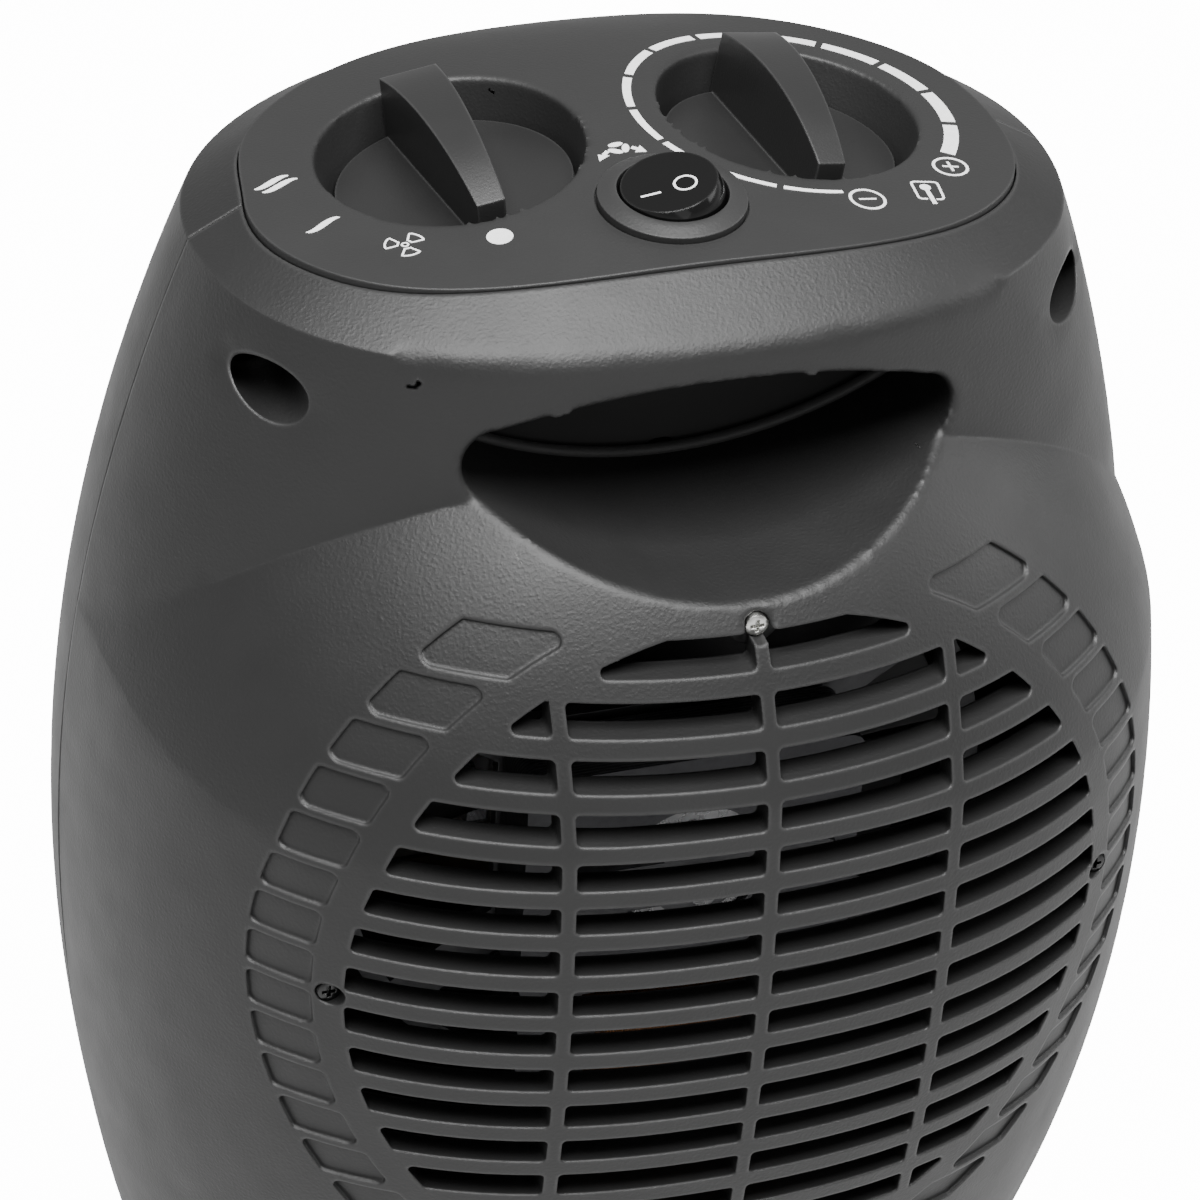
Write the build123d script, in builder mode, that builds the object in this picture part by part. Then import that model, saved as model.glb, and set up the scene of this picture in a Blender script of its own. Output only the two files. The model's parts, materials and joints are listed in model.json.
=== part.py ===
"""Oscillating ceramic fan heater: an egg-shaped housing that swings on a round base.

Millimetres, +Z up. The origin lies on the table, on the swivel axis. The outlet faces -Y and the
intake, the carrying grip and the panel's lettering side face +Y.
"""

from build123d import *
import math
import os

os.makedirs("parts", exist_ok=True)

# Heights of the main levels
foot_height = 3.0
base_height = 34.0
turntable_gap = 6.0
grille_rise = 108.0
crease_rise = 100.0
rim_rise = 9.0
housing_floor = base_height + turntable_gap
grille_z = housing_floor + grille_rise
crease_z = grille_z + crease_rise
rim_z = crease_z + rim_rise

# Housing, seen from behind: widest a little below the grille's centre
half_width = 95.0
widest_drop = 15.0
upper_sweep = 290.0
lower_sweep = 370.0
wall = 2.5
floor_bevel = 4.0
seam_y = -7.7
seam_gap = 0.3
tongue_reach = 3.5
tongue_depth = 4.2

# Rear half: a rounded pod below, a straight collar above, and the shoulder between them
pod_depth = 88.2
pod_curve = 0.0018
pod_power = 2.3
shoulder_radius = 97.0
shoulder_depth = 91.0
shoulder_power = 2.2
collar_depth = 52.0
collar_tuck = 1.5
rim_half_width = 56.0
rim_rear_depth = 38.0

# Front half
front_depth = 72.8
front_curve_up = 0.0017
front_curve_down = 0.0011
rim_front_depth = 41.0

# Intake grille in the rear shell
grille_thickness = 5.3
pad_radius = 78.0
slot_radius = 64.2
slot_pitch = 8.0
slot_height = 5.0
rib_spacing = 32.2
rib_width = 2.2
slot_corner = 0.9
blind_inner_radius = 68.5
blind_outer_radius = 77.0
blind_height = 6.8
blind_depth = 0.9
blind_corner = 1.2

# Outlet grille in the front shell
outlet_radius = 68.0
outlet_slot_radius = 61.5
outlet_bar_depth = 5.7
outlet_flange_width = 3.5
outlet_rib_spacing = 30.0

# Carrying grip: a scoop in the rear shell, under the collar
grip_bottom = 66.1
grip_top = 94.7
grip_lower_radius = 75.0
grip_upper_radius = 100.0
grip_corner = 6.8
grip_wall = 2.2
grip_back_y = 17.0
grip_lean_rise = 80.0
grip_lean = 10.0
backplate_thickness = 2.0

# Control panel
panel_rise = 105.2
panel_half_width = 63.2
panel_rear_depth = 39.2
panel_rear_power = 2.7
panel_front_depth = 44.3
panel_front_power = 2.2
panel_wall = 2.5
panel_gap = 0.25
panel_skirt = 3.3
ledge_width = 3.0
ledge_thickness = 2.4
crown_height = 6.4
crown_spread = 40.0
crown_peak_y = -22.0
crown_rear_span = 79.5
crown_front_span = 34.0

# Knobs, each sunk in a round recess that leans outwards
knob_x = 28.6
knob_y = -11.1
knob_tilt = 7.5
recess_radius = 21.8
recess_floor_radius = 19.7
recess_depth = 9.4
recess_wall = 2.0
knob_radius = 19.2
knob_disc_thickness = 2.4
knob_clearance = 0.4
blade_tail = -19.3
blade_tip = 18.8
blade_tail_width = 9.7
blade_tip_width = 4.7
blade_tail_height = 4.0
blade_mid_height = 5.8
blade_tip_height = 0.3
shaft_radius = 3.0
shaft_hole_radius = 5.0
shaft_length = 18.0
function_rest = 3.5
thermostat_rest = 2.1

# Rocker switch for the oscillation
rocker_y = 14.5
rocker_tilt = 4.0
bezel_radius = 11.9
bezel_edge = 0.8
bezel_rise = 1.8
bezel_seat = 0.9
rocker_bore = 8.9
rocker_radius = 8.6
rocker_face_radius = 7.7
rocker_pivot = -0.3
rocker_throw = 12.0
rocker_case_radius = 10.2
rocker_case_depth = 12.5
trunnion_radius = 1.2
terminal_length = 6.0
switch_width = 24.0
switch_depth = 16.0

# Screws
small_hole = 2.1
small_head = 1.85
small_shank = 1.1
screw_play = 0.3
boss_wall = 0.8
shell_hole = 6.0
shell_tunnel_wall = 2.0
shell_screw_x = 66.2
shell_screw_rise = 89.0
shell_screw_seat_y = 2.0
shell_head = 3.6
shell_shank = 1.6

# Fan, its duct and its motor
duct_radius = 55.0
duct_wall = 2.3
bulkhead_radius = 72.0
bulkhead_y = 6.0
bulkhead_thickness = 2.5
duct_rear_y = 26.0
post_ring = 66.0
top_post_rise = 62.8
post_radius = 3.6
fan_radius = 52.4
fan_hub_radius = 12.0
fan_front_y = 9.5
fan_hub_length = 15.0
fan_blades = 7
fan_blade_thickness = 1.4
mount_thickness = 2.5
stack_width = 58.0
stack_height = 46.0
stack_depth = 14.0
stack_bore = 12.8
rotor_radius = 12.3
bridge_thickness = 2.5
fan_shaft_radius = 2.5
running_fit = 0.05
coil_drop = 8.0
limb_height = 8.0
coil_build = 4.0

# Ceramic heating element
element_width = 100.0
bar_count = 5
bar_height = 4.8
fin_height = 15.0
fin_pitch = 4.0
fin_thickness = 0.5
frame_border = 9.0
frame_depth = 16.0
frame_rear_y = -20.0
duct_sheet = 1.5
fin_play = 0.1
cutout_x = 28.0
cutout_radius = 8.0
cutout_height = 8.0
fuse_radius = 2.0
fuse_length = 11.0

# Base
base_radius = 78.0
base_wall = 2.2
base_side = 12.0
base_crown_radius = 52.0
plate_thickness = 2.5
foot_radius = 7.0
foot_ring = 62.0
base_screw_ring = 64.0
cord_hole_radius = 4.5
cord_hole_z = 12.0

# Swivel and oscillation drive
neck_radius = 13.0
neck_bore = 9.5
neck_clearance = 0.4
neck_flange_radius = 24.0
neck_flange = 2.5
neck_screw_ring = 19.0
glide_radius = 34.0
rest_gap = 0.3
crank_distance = 33.0
crank_throw = 16.0
crank_disc_radius = 19.0
crank_disc_thickness = 3.0
crank_level = 23.0
crank_hub = 1.5
gear_shaft_radius = 3.0
roller_radius = 3.0
slot_play = 1.0
arm_thickness = 3.0
arm_clearance = 1.3
arm_width = 16.0
gear_motor_radius = 25.0
gear_motor_height = 15.0
gear_motor_offset = 6.0


def levels(low, high, count):
    """Evenly spaced values from low to high."""
    return [low + (high - low) * i / (count - 1) for i in range(count)]


def width_at(z):
    """Half width of the housing at its seam."""
    rise = z - grille_z + widest_drop
    sweep = upper_sweep if rise > 0 else lower_sweep
    return half_width - rise**2 / (2 * sweep)


def pod_depth_at(z):
    """Depth of the rear pod behind the seam."""
    return pod_depth - pod_curve * (z - grille_z) ** 2


def front_depth_at(z):
    """Depth of the front shell before the seam."""
    curve = front_curve_up if z > grille_z else front_curve_down
    return front_depth - curve * (z - grille_z) ** 2


def rounded(share, power):
    """Height of a unit superellipse at a share of its half width."""
    return max(1 - abs(share) ** power, 0.0) ** (1 / power)


def half_oval(half, depth, power, count=9):
    """Points of a rounded half outline from +half round to -half."""
    points = [(half, 0.0)]
    for angle in levels(0, math.pi, count)[1:-1]:
        c = math.cos(angle)
        x = half * math.copysign(abs(c) ** (2 / power), c)
        points.append((x, depth * math.sin(angle) ** (2 / power)))
    points.append((-half, 0.0))
    return points


def rear_section(z, half, depth):
    """One level section of the rear half."""
    outline = [(x, seam_y + y) for x, y in half_oval(half, depth, pod_power)]
    with BuildSketch(Plane.XY.offset(z)) as section:
        with BuildLine():
            Spline(*outline, tangents=[(0, 1), (0, -1)], tangent_scalars=[1, 1])
            Line(outline[-1], outline[0])
        make_face()
    return section.sketch


def front_section(z, half, depth):
    """One level section of the front half, an elliptical arc closed at the seam."""
    edge_y = seam_y - seam_gap
    with BuildSketch(Plane.XY.offset(z)) as section:
        with BuildLine():
            EllipticalCenterArc((0, edge_y), half, depth, start_angle=180, arc_size=180)
            Line((half, edge_y), (-half, edge_y))
        make_face()
    return section.sketch


def shoulder_envelope(inset):
    """Round shoulder over the pod's upper half, turned about the grille's axis."""
    radius = shoulder_radius - inset
    depth = shoulder_depth - inset
    profile = [(0.0, seam_y + depth)]
    for angle in levels(0, math.pi / 2, 8)[1:-1]:
        x = radius * math.sin(angle) ** (2 / shoulder_power)
        profile.append((x, seam_y + depth * math.cos(angle) ** (2 / shoulder_power)))
    profile.append((radius, seam_y))
    margin = 5.0
    with BuildPart() as envelope:
        with BuildSketch(Plane.XY.offset(grille_z)):
            with BuildLine():
                Spline(*profile, tangents=[(1, 0), (0, -1)], tangent_scalars=[1, 1])
                Polyline(profile[-1], (radius, seam_y - margin), (0, seam_y - margin), profile[0])
            make_face()
        revolve(axis=Axis((0, 0, grille_z), (0, 1, 0)))
        with Locations((0, seam_y - margin, housing_floor)):
            Box(
                3 * half_width, 2 * pod_depth, grille_rise,
                align=(Align.CENTER, Align.MIN, Align.MIN),
            )
    return envelope.part


def rear_form(inset):
    """The rear half as a solid whose surface lies inset below the outside."""
    low = housing_floor + floor_bevel
    pod_top = crease_z - floor_bevel * 3
    collar_foot = grille_z + slot_pitch
    shoulder_meet = 36.0 - slot_pitch

    def tuck(z):
        below = max(1 - (z - collar_foot) / shoulder_meet, 0.0)
        return collar_tuck * below**2

    with BuildPart() as form:
        loft(
            [
                rear_section(z, width_at(z) - inset, pod_depth_at(z) - inset)
                for z in levels(low, pod_top, 4)
            ]
        )
        add(shoulder_envelope(inset), mode=Mode.INTERSECT)
        loft(
            [
                rear_section(z, width_at(z) - tuck(z) - inset, collar_depth - inset)
                for z in levels(collar_foot, crease_z, 5)
            ]
        )
        loft(
            [
                rear_section(crease_z, width_at(crease_z) - inset, collar_depth - inset),
                rear_section(rim_z, rim_half_width - inset, rim_rear_depth - inset),
            ],
            ruled=True,
        )
        bevel = floor_bevel + inset
        loft(
            [
                rear_section(
                    housing_floor + inset,
                    width_at(housing_floor) - bevel,
                    pod_depth_at(housing_floor) - bevel,
                ),
                rear_section(low, width_at(low) - inset, pod_depth_at(low) - inset),
            ],
            ruled=True,
        )
    return form.part


def front_form(inset):
    """The front half as a solid whose surface lies inset below the outside."""
    low = housing_floor + floor_bevel
    bevel = floor_bevel + inset
    with BuildPart() as form:
        loft(
            [
                front_section(z, width_at(z) - inset, front_depth_at(z) - inset)
                for z in levels(low, crease_z, 5)
            ]
        )
        loft(
            [
                front_section(crease_z, width_at(crease_z) - inset, front_depth_at(crease_z) - inset),
                front_section(rim_z, rim_half_width - inset, rim_front_depth - inset),
            ],
            ruled=True,
        )
        loft(
            [
                front_section(
                    housing_floor + inset,
                    width_at(housing_floor) - bevel,
                    front_depth_at(housing_floor) - bevel,
                ),
                front_section(low, width_at(low) - inset, front_depth_at(low) - inset),
            ],
            ruled=True,
        )
    return form.part


def rear_surface_at(x, z):
    """Y of the pod's outside at a point seen from behind."""
    depth = pod_depth_at(z) * rounded(x / width_at(z), pod_power)
    if z > grille_z:
        reach = math.hypot(x, z - grille_z) / shoulder_radius
        depth = min(depth, shoulder_depth * rounded(reach, shoulder_power))
    return seam_y + depth


def panel_outline(z, grow):
    """Outline of the control panel, grown or shrunk."""
    half = panel_half_width + grow
    rear = half_oval(half, panel_rear_depth + grow, panel_rear_power)
    front = half_oval(half, panel_front_depth + grow, panel_front_power)
    loop = [(x, seam_y + y) for x, y in rear[:-1]] + [(-x, seam_y - y) for x, y in front[:-1]]
    with BuildSketch(Plane.XY.offset(z)) as outline:
        with BuildLine():
            Spline(*loop, periodic=True)
        make_face()
    return outline.sketch


def crown_at(y):
    """Height of the panel's hump along its middle."""
    if y > crown_peak_y:
        return crown_height * (1 - ((y - crown_peak_y) / crown_rear_span) ** 2)
    return crown_height * (1 - ((crown_peak_y - y) / crown_front_span) ** 3)


def panel_z_at(x, y):
    """Height of the panel's top."""
    return grille_z + panel_rise + crown_at(y) * math.exp(-((x / crown_spread) ** 2))


def crown_solid(drop):
    """Everything under the panel's top, lowered by drop."""
    reach = panel_half_width + 6
    sections = []
    front_end = seam_y - panel_front_depth - 3
    rear_end = seam_y + panel_rear_depth + 3
    for y in levels(front_end, rear_end, 8):
        top = [(x, panel_z_at(x, y) - drop) for x in levels(-reach, reach, 13)]
        with BuildSketch(Plane.XZ.offset(-y)) as section:
            with BuildLine():
                Spline(*top)
                Polyline(top[-1], (reach, grille_z), (-reach, grille_z), top[0])
            make_face()
        sections.append(section.sketch)
    with BuildPart() as crown:
        loft(sections)
    return crown.part


def turned(plane, angle):
    """A plane turned about its own normal."""
    a = math.radians(angle)
    ahead = plane.x_dir * math.cos(a) + plane.y_dir * math.sin(a)
    return Plane(origin=plane.origin, x_dir=ahead, z_dir=plane.z_dir)


def knob_plane(side):
    """Plane of a knob recess at the panel's surface, its Z along the knob's axis."""
    lean = math.radians(knob_tilt)
    return Plane(
        origin=(side * knob_x, knob_y, panel_z_at(knob_x, knob_y)),
        x_dir=(math.cos(lean), 0, -side * math.sin(lean)),
        z_dir=(side * math.sin(lean), 0, math.cos(lean)),
    )


def rocker_plane():
    """Plane of the rocker switch, leaning a little to the rear."""
    lean = math.radians(rocker_tilt)
    return Plane(
        origin=(0, rocker_y, panel_z_at(0, rocker_y)),
        x_dir=(1, 0, 0),
        z_dir=(0, math.sin(lean), math.cos(lean)),
    )


def recess_cup(side):
    """Outer wall of a knob recess, ending under the panel's top."""
    with BuildPart() as cup:
        with BuildSketch(knob_plane(side).offset(-recess_depth - recess_wall)):
            Circle(recess_radius + recess_wall)
        extrude(amount=recess_depth + recess_wall + crown_height)
        add(crown_solid(0), mode=Mode.INTERSECT)
    return cup.part


def grip_outline(y, grow):
    """Outline of the grip: a deep lower arc, a flat upper arc and round corners."""
    bottom = grille_z + grip_bottom
    top = grille_z + grip_top
    low_centre = bottom + grip_lower_radius
    high_centre = top - grip_upper_radius
    span = low_centre - high_centre
    meet = (grip_upper_radius**2 - grip_lower_radius**2 + span**2) / (2 * span)
    meet_x = math.sqrt(grip_upper_radius**2 - meet**2)
    meet_z = high_centre + meet
    with BuildSketch(Plane.XZ.offset(-y)) as outline:
        with BuildLine():
            ThreePointArc((-meet_x, meet_z), (0, bottom), (meet_x, meet_z))
            ThreePointArc((meet_x, meet_z), (0, top), (-meet_x, meet_z))
        make_face()
        fillet(outline.vertices(), grip_corner)
        if grow > 0:
            offset(amount=grow)
    return outline.sketch


def grip_block(y_from, y_to, grow):
    """The grip's outline carried along Y."""
    with BuildPart() as block:
        extrude(grip_outline(y_to, grow), amount=y_to - y_from, dir=(0, -1, 0))
    return block.part


def along_y(x, rise, y_from, y_to, radius):
    """A round bar along Y at a point of the grille's plane."""
    with BuildPart() as bar:
        with BuildSketch(Plane.XZ.offset(-y_to)):
            with Locations((x, grille_z + rise)):
                Circle(radius)
        extrude(amount=y_to - y_from)
    return bar.part


def slot_rows(radius, pitch, height, spacing, width):
    """Slots of a round grille: level rows cut off by a circle and crossed by upright ribs."""
    count = int(radius / pitch)
    with BuildSketch() as rows:
        Circle(radius)
        with GridLocations(0, pitch, 1, 2 * count + 1):
            Rectangle(3 * radius, pitch - height, mode=Mode.SUBTRACT)
        with GridLocations(spacing, 0, 3, 1):
            Rectangle(width, 3 * radius, mode=Mode.SUBTRACT)
    return rows.sketch


def blind_rings():
    """Blind slots: rows of a ring round the intake, on the intake's own rows."""
    rows = int(slot_radius / slot_pitch)
    end = rows * slot_pitch
    with BuildSketch() as rings:
        Circle(blind_outer_radius)
        Circle(blind_inner_radius, mode=Mode.SUBTRACT)
        with GridLocations(0, slot_pitch, 1, 2 * rows + 1):
            Rectangle(3 * half_width, slot_pitch - blind_height, mode=Mode.SUBTRACT)
        with GridLocations(0, 2 * end + half_width, 1, 2):
            Rectangle(3 * half_width, half_width, mode=Mode.SUBTRACT)
    return rings.sketch.moved(Location((0, grille_z, 0)))


def lean_line():
    """Side view of the grip's back: upright below, leaning to the rear above."""
    return [
        (grip_back_y, foot_z),
        (grip_back_y, grille_z + grip_lean_rise),
        (grip_back_y + grip_lean, head_z),
    ]


def tongue_strips(y_from, length, inset):
    """Two upright strips that follow the side walls at the seam."""
    low = housing_floor + floor_bevel
    high = crease_z - floor_bevel
    with BuildPart() as strips:
        with BuildSketch(Plane.XZ.offset(-(y_from + length))) as side_strip:
            with BuildLine():
                outer_edge = [(width_at(z) - inset, z) for z in levels(low, high, 9)]
                inner_edge = [(width_at(z) - tongue_depth, z) for z in levels(high, low, 9)]
                Spline(*outer_edge)
                Spline(*inner_edge)
                Line(outer_edge[-1], inner_edge[0])
                Line(inner_edge[-1], outer_edge[0])
            make_face()
            mirror(about=Plane.YZ)
        extrude(amount=length)
    return strips.part


def roomy_corners(sketch, radius):
    """Corners whose two edges are both long enough for a fillet."""
    short = [edge for edge in sketch.edges() if edge.length < 3 * radius]
    tight = [vertex for edge in short for vertex in edge.vertices()]
    return [vertex for vertex in sketch.vertices() if vertex not in tight]


def save(part, label):
    """Name a finished piece and write its file."""
    part.label = label
    export_step(part, "parts/" + label + ".step")


# Shared tool bodies of the housing
rear_outer = rear_form(0.0)
rear_inner = rear_form(wall)
front_outer = front_form(0.0)
front_inner = front_form(wall)
pod_far = seam_y + pod_depth + 2
front_far = seam_y - front_depth - 2
ledge_z = grille_z + panel_rise - panel_skirt
ledge_slab = (3 * half_width, 3 * half_width, ledge_thickness)
on_floor = (Align.CENTER, Align.CENTER, Align.MIN)
foot_z = grille_z + grip_bottom - 2 * grip_wall - 2 * post_radius
head_z = grille_z + grip_top + 2 * grip_wall
shroud_screws = ((post_ring, 0), (-post_ring, 0), (0, -post_ring), (0, top_post_rise))

# Screw seats of the fan shroud: three beside the slots and one above them
with BuildPart() as shroud_holes:
    for x, rise in shroud_screws:
        seat = rear_surface_at(x, grille_z + rise) - wall
        add(along_y(x, rise, seat, pod_far, small_hole))
        add(along_y(x, rise, bulkhead_y, seat, small_shank + screw_play))

# Blind slots round the intake, only a little deep
with BuildPart() as blind_slots:
    with BuildSketch(Plane.XZ.offset(-pod_far)) as blind_rows:
        add(blind_rings())
        fillet(roomy_corners(blind_rows, blind_corner), blind_corner)
    extrude(amount=pod_far)
    floor = rear_outer.moved(Location((0, -blind_depth, 0)))
    add(floor, mode=Mode.SUBTRACT, clean=False)

# Thick round pad of the rear shell with the intake slots
with BuildPart() as intake_pad:
    add(along_y(0, 0, seam_y + 15, pod_far, pad_radius))
    add(rear_outer, mode=Mode.INTERSECT)
    add(rear_outer.moved(Location((0, -grille_thickness, 0))), mode=Mode.SUBTRACT)
    add(grip_block(0, pod_far, grip_wall), mode=Mode.SUBTRACT)
    add(shroud_holes.part, mode=Mode.SUBTRACT)
    with BuildSketch(Plane.XZ.offset(-pod_far)) as intake_slots:
        with Locations((0, grille_z)):
            add(slot_rows(slot_radius, slot_pitch, slot_height, rib_spacing, rib_width))
        fillet(roomy_corners(intake_slots, slot_corner), slot_corner)
    extrude(amount=pod_far, mode=Mode.SUBTRACT, clean=False)
    add(blind_slots.part, mode=Mode.SUBTRACT, clean=False)

# Scoop of the grip and the tunnels for the two long shell screws
with BuildPart() as scoop:
    add(grip_block(grip_back_y, pod_far, grip_wall))
    for side in (1, -1):
        tunnel = shell_hole + shell_tunnel_wall
        add(along_y(side * shell_screw_x, shell_screw_rise, seam_y, pod_far, tunnel))
    add(rear_outer, mode=Mode.INTERSECT)
    add(shroud_holes.part, mode=Mode.SUBTRACT)
    # The upper half of the scoop's back leans to the rear
    with BuildSketch(Plane.YZ):
        with BuildLine():
            Polyline(*lean_line(), (0, head_z), (0, foot_z), close=True)
        make_face()
    extrude(amount=grip_lower_radius * 0.6, both=True, mode=Mode.SUBTRACT)

# Boss under the scoop for the uppermost screw of the shroud
with BuildPart() as top_boss:
    boss_end = rear_surface_at(0, grille_z + top_post_rise) - grille_thickness / 2
    add(along_y(0, top_post_rise, grip_back_y, boss_end, post_radius + boss_wall))
    add(grip_block(0, pod_far, grip_wall), mode=Mode.SUBTRACT)
    add(shroud_holes.part, mode=Mode.SUBTRACT)

# Ledge that carries the control panel
with BuildPart() as rear_ledge:
    add(rear_outer)
    with Locations((0, 0, ledge_z - ledge_thickness)):
        Box(*ledge_slab, align=on_floor, mode=Mode.INTERSECT)
    add(panel_outline(ledge_z - ledge_thickness, -ledge_width))
    extrude(amount=ledge_thickness, mode=Mode.SUBTRACT)

with BuildPart() as rear_shell:
    add(rear_outer)
    add(rear_inner, mode=Mode.SUBTRACT)
    add(along_y(0, 0, seam_y + 15, pod_far, pad_radius), mode=Mode.SUBTRACT)
    add(rear_ledge.part)
    add(panel_outline(ledge_z, panel_gap))
    extrude(amount=crown_height + rim_rise, mode=Mode.SUBTRACT)
    add(scoop.part)
    add(grip_block(grip_back_y - 5, pod_far, 0), mode=Mode.SUBTRACT)
    for side in (1, -1):
        x = side * shell_screw_x
        add(along_y(x, shell_screw_rise, shell_screw_seat_y, pod_far, shell_hole), mode=Mode.SUBTRACT)
        shank_hole = along_y(x, shell_screw_rise, seam_y - wall, pod_far, shell_shank + screw_play)
        add(shank_hole, mode=Mode.SUBTRACT)
    with BuildSketch(Plane.XY.offset(housing_floor - 1)):
        Circle(neck_radius + rest_gap)
    extrude(amount=wall + 2, mode=Mode.SUBTRACT)
    add(intake_pad.part, clean=False)
    add(top_boss.part, clean=False)
save(rear_shell.part, "rear_shell")

# Back of the grip: a smooth plate that closes the scoop
with BuildPart() as grip_backplate:
    with BuildSketch(Plane.YZ):
        with BuildLine():
            front_line = [(y - backplate_thickness, z) for y, z in reversed(lean_line())]
            Polyline(*lean_line(), *front_line, close=True)
        make_face()
    extrude(amount=grip_lower_radius * 0.6, both=True)
    add(grip_block(0, pod_far, grip_wall), mode=Mode.INTERSECT)
    notch = post_radius + boss_wall + rest_gap
    add(along_y(0, top_post_rise, 0, pod_far, notch), mode=Mode.SUBTRACT)
save(grip_backplate.part, "grip_backplate")

# Screws of the shroud: three short ones and a long one under the scoop
with BuildPart() as shroud_screw_set:
    for x, rise in shroud_screws:
        seat = rear_surface_at(x, grille_z + rise) - wall
        tip = bulkhead_y + bulkhead_thickness + 1 if rise == top_post_rise else seat - 14
        add(along_y(x, rise, seat, seat + 1.6, small_head))
        add(along_y(x, rise, tip, seat + 0.5, small_shank))
save(shroud_screw_set.part, "shroud_screws")

# Front shell: wall, ledge, screw posts and the tongue that closes the seam from inside
with BuildPart() as front_ledge:
    add(front_outer)
    with Locations((0, 0, ledge_z - ledge_thickness)):
        Box(*ledge_slab, align=on_floor, mode=Mode.INTERSECT)
    add(panel_outline(ledge_z - ledge_thickness, -ledge_width))
    extrude(amount=ledge_thickness, mode=Mode.SUBTRACT)

with BuildPart() as front_posts:
    for side in (1, -1):
        add(along_y(side * shell_screw_x, shell_screw_rise, seam_y - 24, seam_y - seam_gap, 5.0))
    add(front_outer, mode=Mode.INTERSECT)

with BuildPart() as front_shell:
    add(front_outer)
    add(front_inner, mode=Mode.SUBTRACT)
    add(front_ledge.part)
    add(front_posts.part)
    # Tongue: its root thickens the wall, its edge reaches behind the seam
    add(tongue_strips(seam_y - seam_gap - tongue_reach, tongue_reach, wall / 2))
    add(tongue_strips(seam_y - seam_gap - tongue_reach, 2 * tongue_reach, wall + seam_gap))
    add(panel_outline(ledge_z, panel_gap))
    extrude(amount=crown_height + rim_rise, mode=Mode.SUBTRACT)
    for side in (1, -1):
        x = side * shell_screw_x
        add(along_y(x, shell_screw_rise, seam_y - 20, seam_y + 5, shell_shank), mode=Mode.SUBTRACT)
        around = shell_hole + shell_tunnel_wall + rest_gap
        add(along_y(x, shell_screw_rise, seam_y - seam_gap, 0, around), mode=Mode.SUBTRACT)
    add(along_y(0, 0, front_far, seam_y - 10, outlet_radius), mode=Mode.SUBTRACT)
    with BuildSketch(Plane.XY.offset(housing_floor - 1)):
        Circle(neck_radius + rest_gap)
    extrude(amount=wall + 2, mode=Mode.SUBTRACT)
save(front_shell.part, "front_shell")

# Long screws that hold the two shells together
with BuildPart() as shell_screw_set:
    for side in (1, -1):
        x = side * shell_screw_x
        head_y = shell_screw_seat_y
        add(along_y(x, shell_screw_rise, head_y, head_y + 2.4, shell_head))
        add(along_y(x, shell_screw_rise, seam_y - 19, head_y + 1, shell_shank - screw_play / 3))
save(shell_screw_set.part, "shell_screws")

# Outlet grille: level bars that follow the front shell, with a flange behind its opening
with BuildPart() as front_grille:
    add(along_y(0, 0, front_far, seam_y - 10, outlet_radius - rest_gap))
    add(front_outer, mode=Mode.INTERSECT)
    add(front_outer.moved(Location((0, outlet_bar_depth, 0))), mode=Mode.SUBTRACT)
    with BuildSketch(Plane.XZ.offset(-seam_y)) as outlet_slots:
        with Locations((0, grille_z)):
            add(
                slot_rows(
                    outlet_slot_radius, slot_pitch, slot_height, outlet_rib_spacing, rib_width
                )
            )
        fillet(roomy_corners(outlet_slots, slot_corner), slot_corner)
    extrude(amount=-front_far, mode=Mode.SUBTRACT, clean=False)

with BuildPart() as outlet_flange:
    flange_outer = outlet_radius + outlet_flange_width
    add(along_y(0, 0, front_far, seam_y - 10, flange_outer))
    flange_inner = outlet_slot_radius + 2
    add(along_y(0, 0, front_far, seam_y - 10, flange_inner), mode=Mode.SUBTRACT)
    add(front_inner.moved(Location((0, 2 * running_fit, 0))), mode=Mode.INTERSECT)
    add(front_outer.moved(Location((0, outlet_bar_depth, 0))), mode=Mode.SUBTRACT)

with BuildPart() as outlet:
    add(front_grille.part)
    add(outlet_flange.part, clean=False)
save(outlet.part, "front_grille")

# Control panel: a crowned lid with two leaning knob recesses and the seat of the rocker
with BuildPart() as panel_hollow:
    add(panel_outline(ledge_z - 1, -panel_wall))
    extrude(amount=crown_height + rim_rise)
    add(crown_solid(panel_wall), mode=Mode.INTERSECT)

with BuildPart() as control_panel:
    add(panel_outline(ledge_z, 0))
    extrude(amount=crown_height + rim_rise)
    add(crown_solid(0), mode=Mode.INTERSECT)
    add(panel_hollow.part, mode=Mode.SUBTRACT)
    for side in (1, -1):
        add(recess_cup(side))
    for side in (1, -1):
        with BuildSketch(knob_plane(side).offset(-recess_depth)):
            Circle(recess_floor_radius)
        with BuildSketch(knob_plane(side)):
            Circle(recess_radius)
        loft(mode=Mode.SUBTRACT)
        with BuildSketch(knob_plane(side)):
            Circle(recess_radius)
        extrude(amount=crown_height, mode=Mode.SUBTRACT)
        with BuildSketch(knob_plane(side)):
            Circle(shaft_hole_radius)
        extrude(amount=-recess_depth - 2 * recess_wall, mode=Mode.SUBTRACT)
    with BuildSketch(rocker_plane().offset(-bezel_seat)):
        Circle(bezel_radius + panel_gap)
    extrude(amount=crown_height, mode=Mode.SUBTRACT)
    with BuildSketch(rocker_plane().offset(-bezel_seat)):
        Circle(rocker_case_radius + panel_gap)
    extrude(amount=-2 * panel_wall, mode=Mode.SUBTRACT)
save(control_panel.part, "control_panel")

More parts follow.
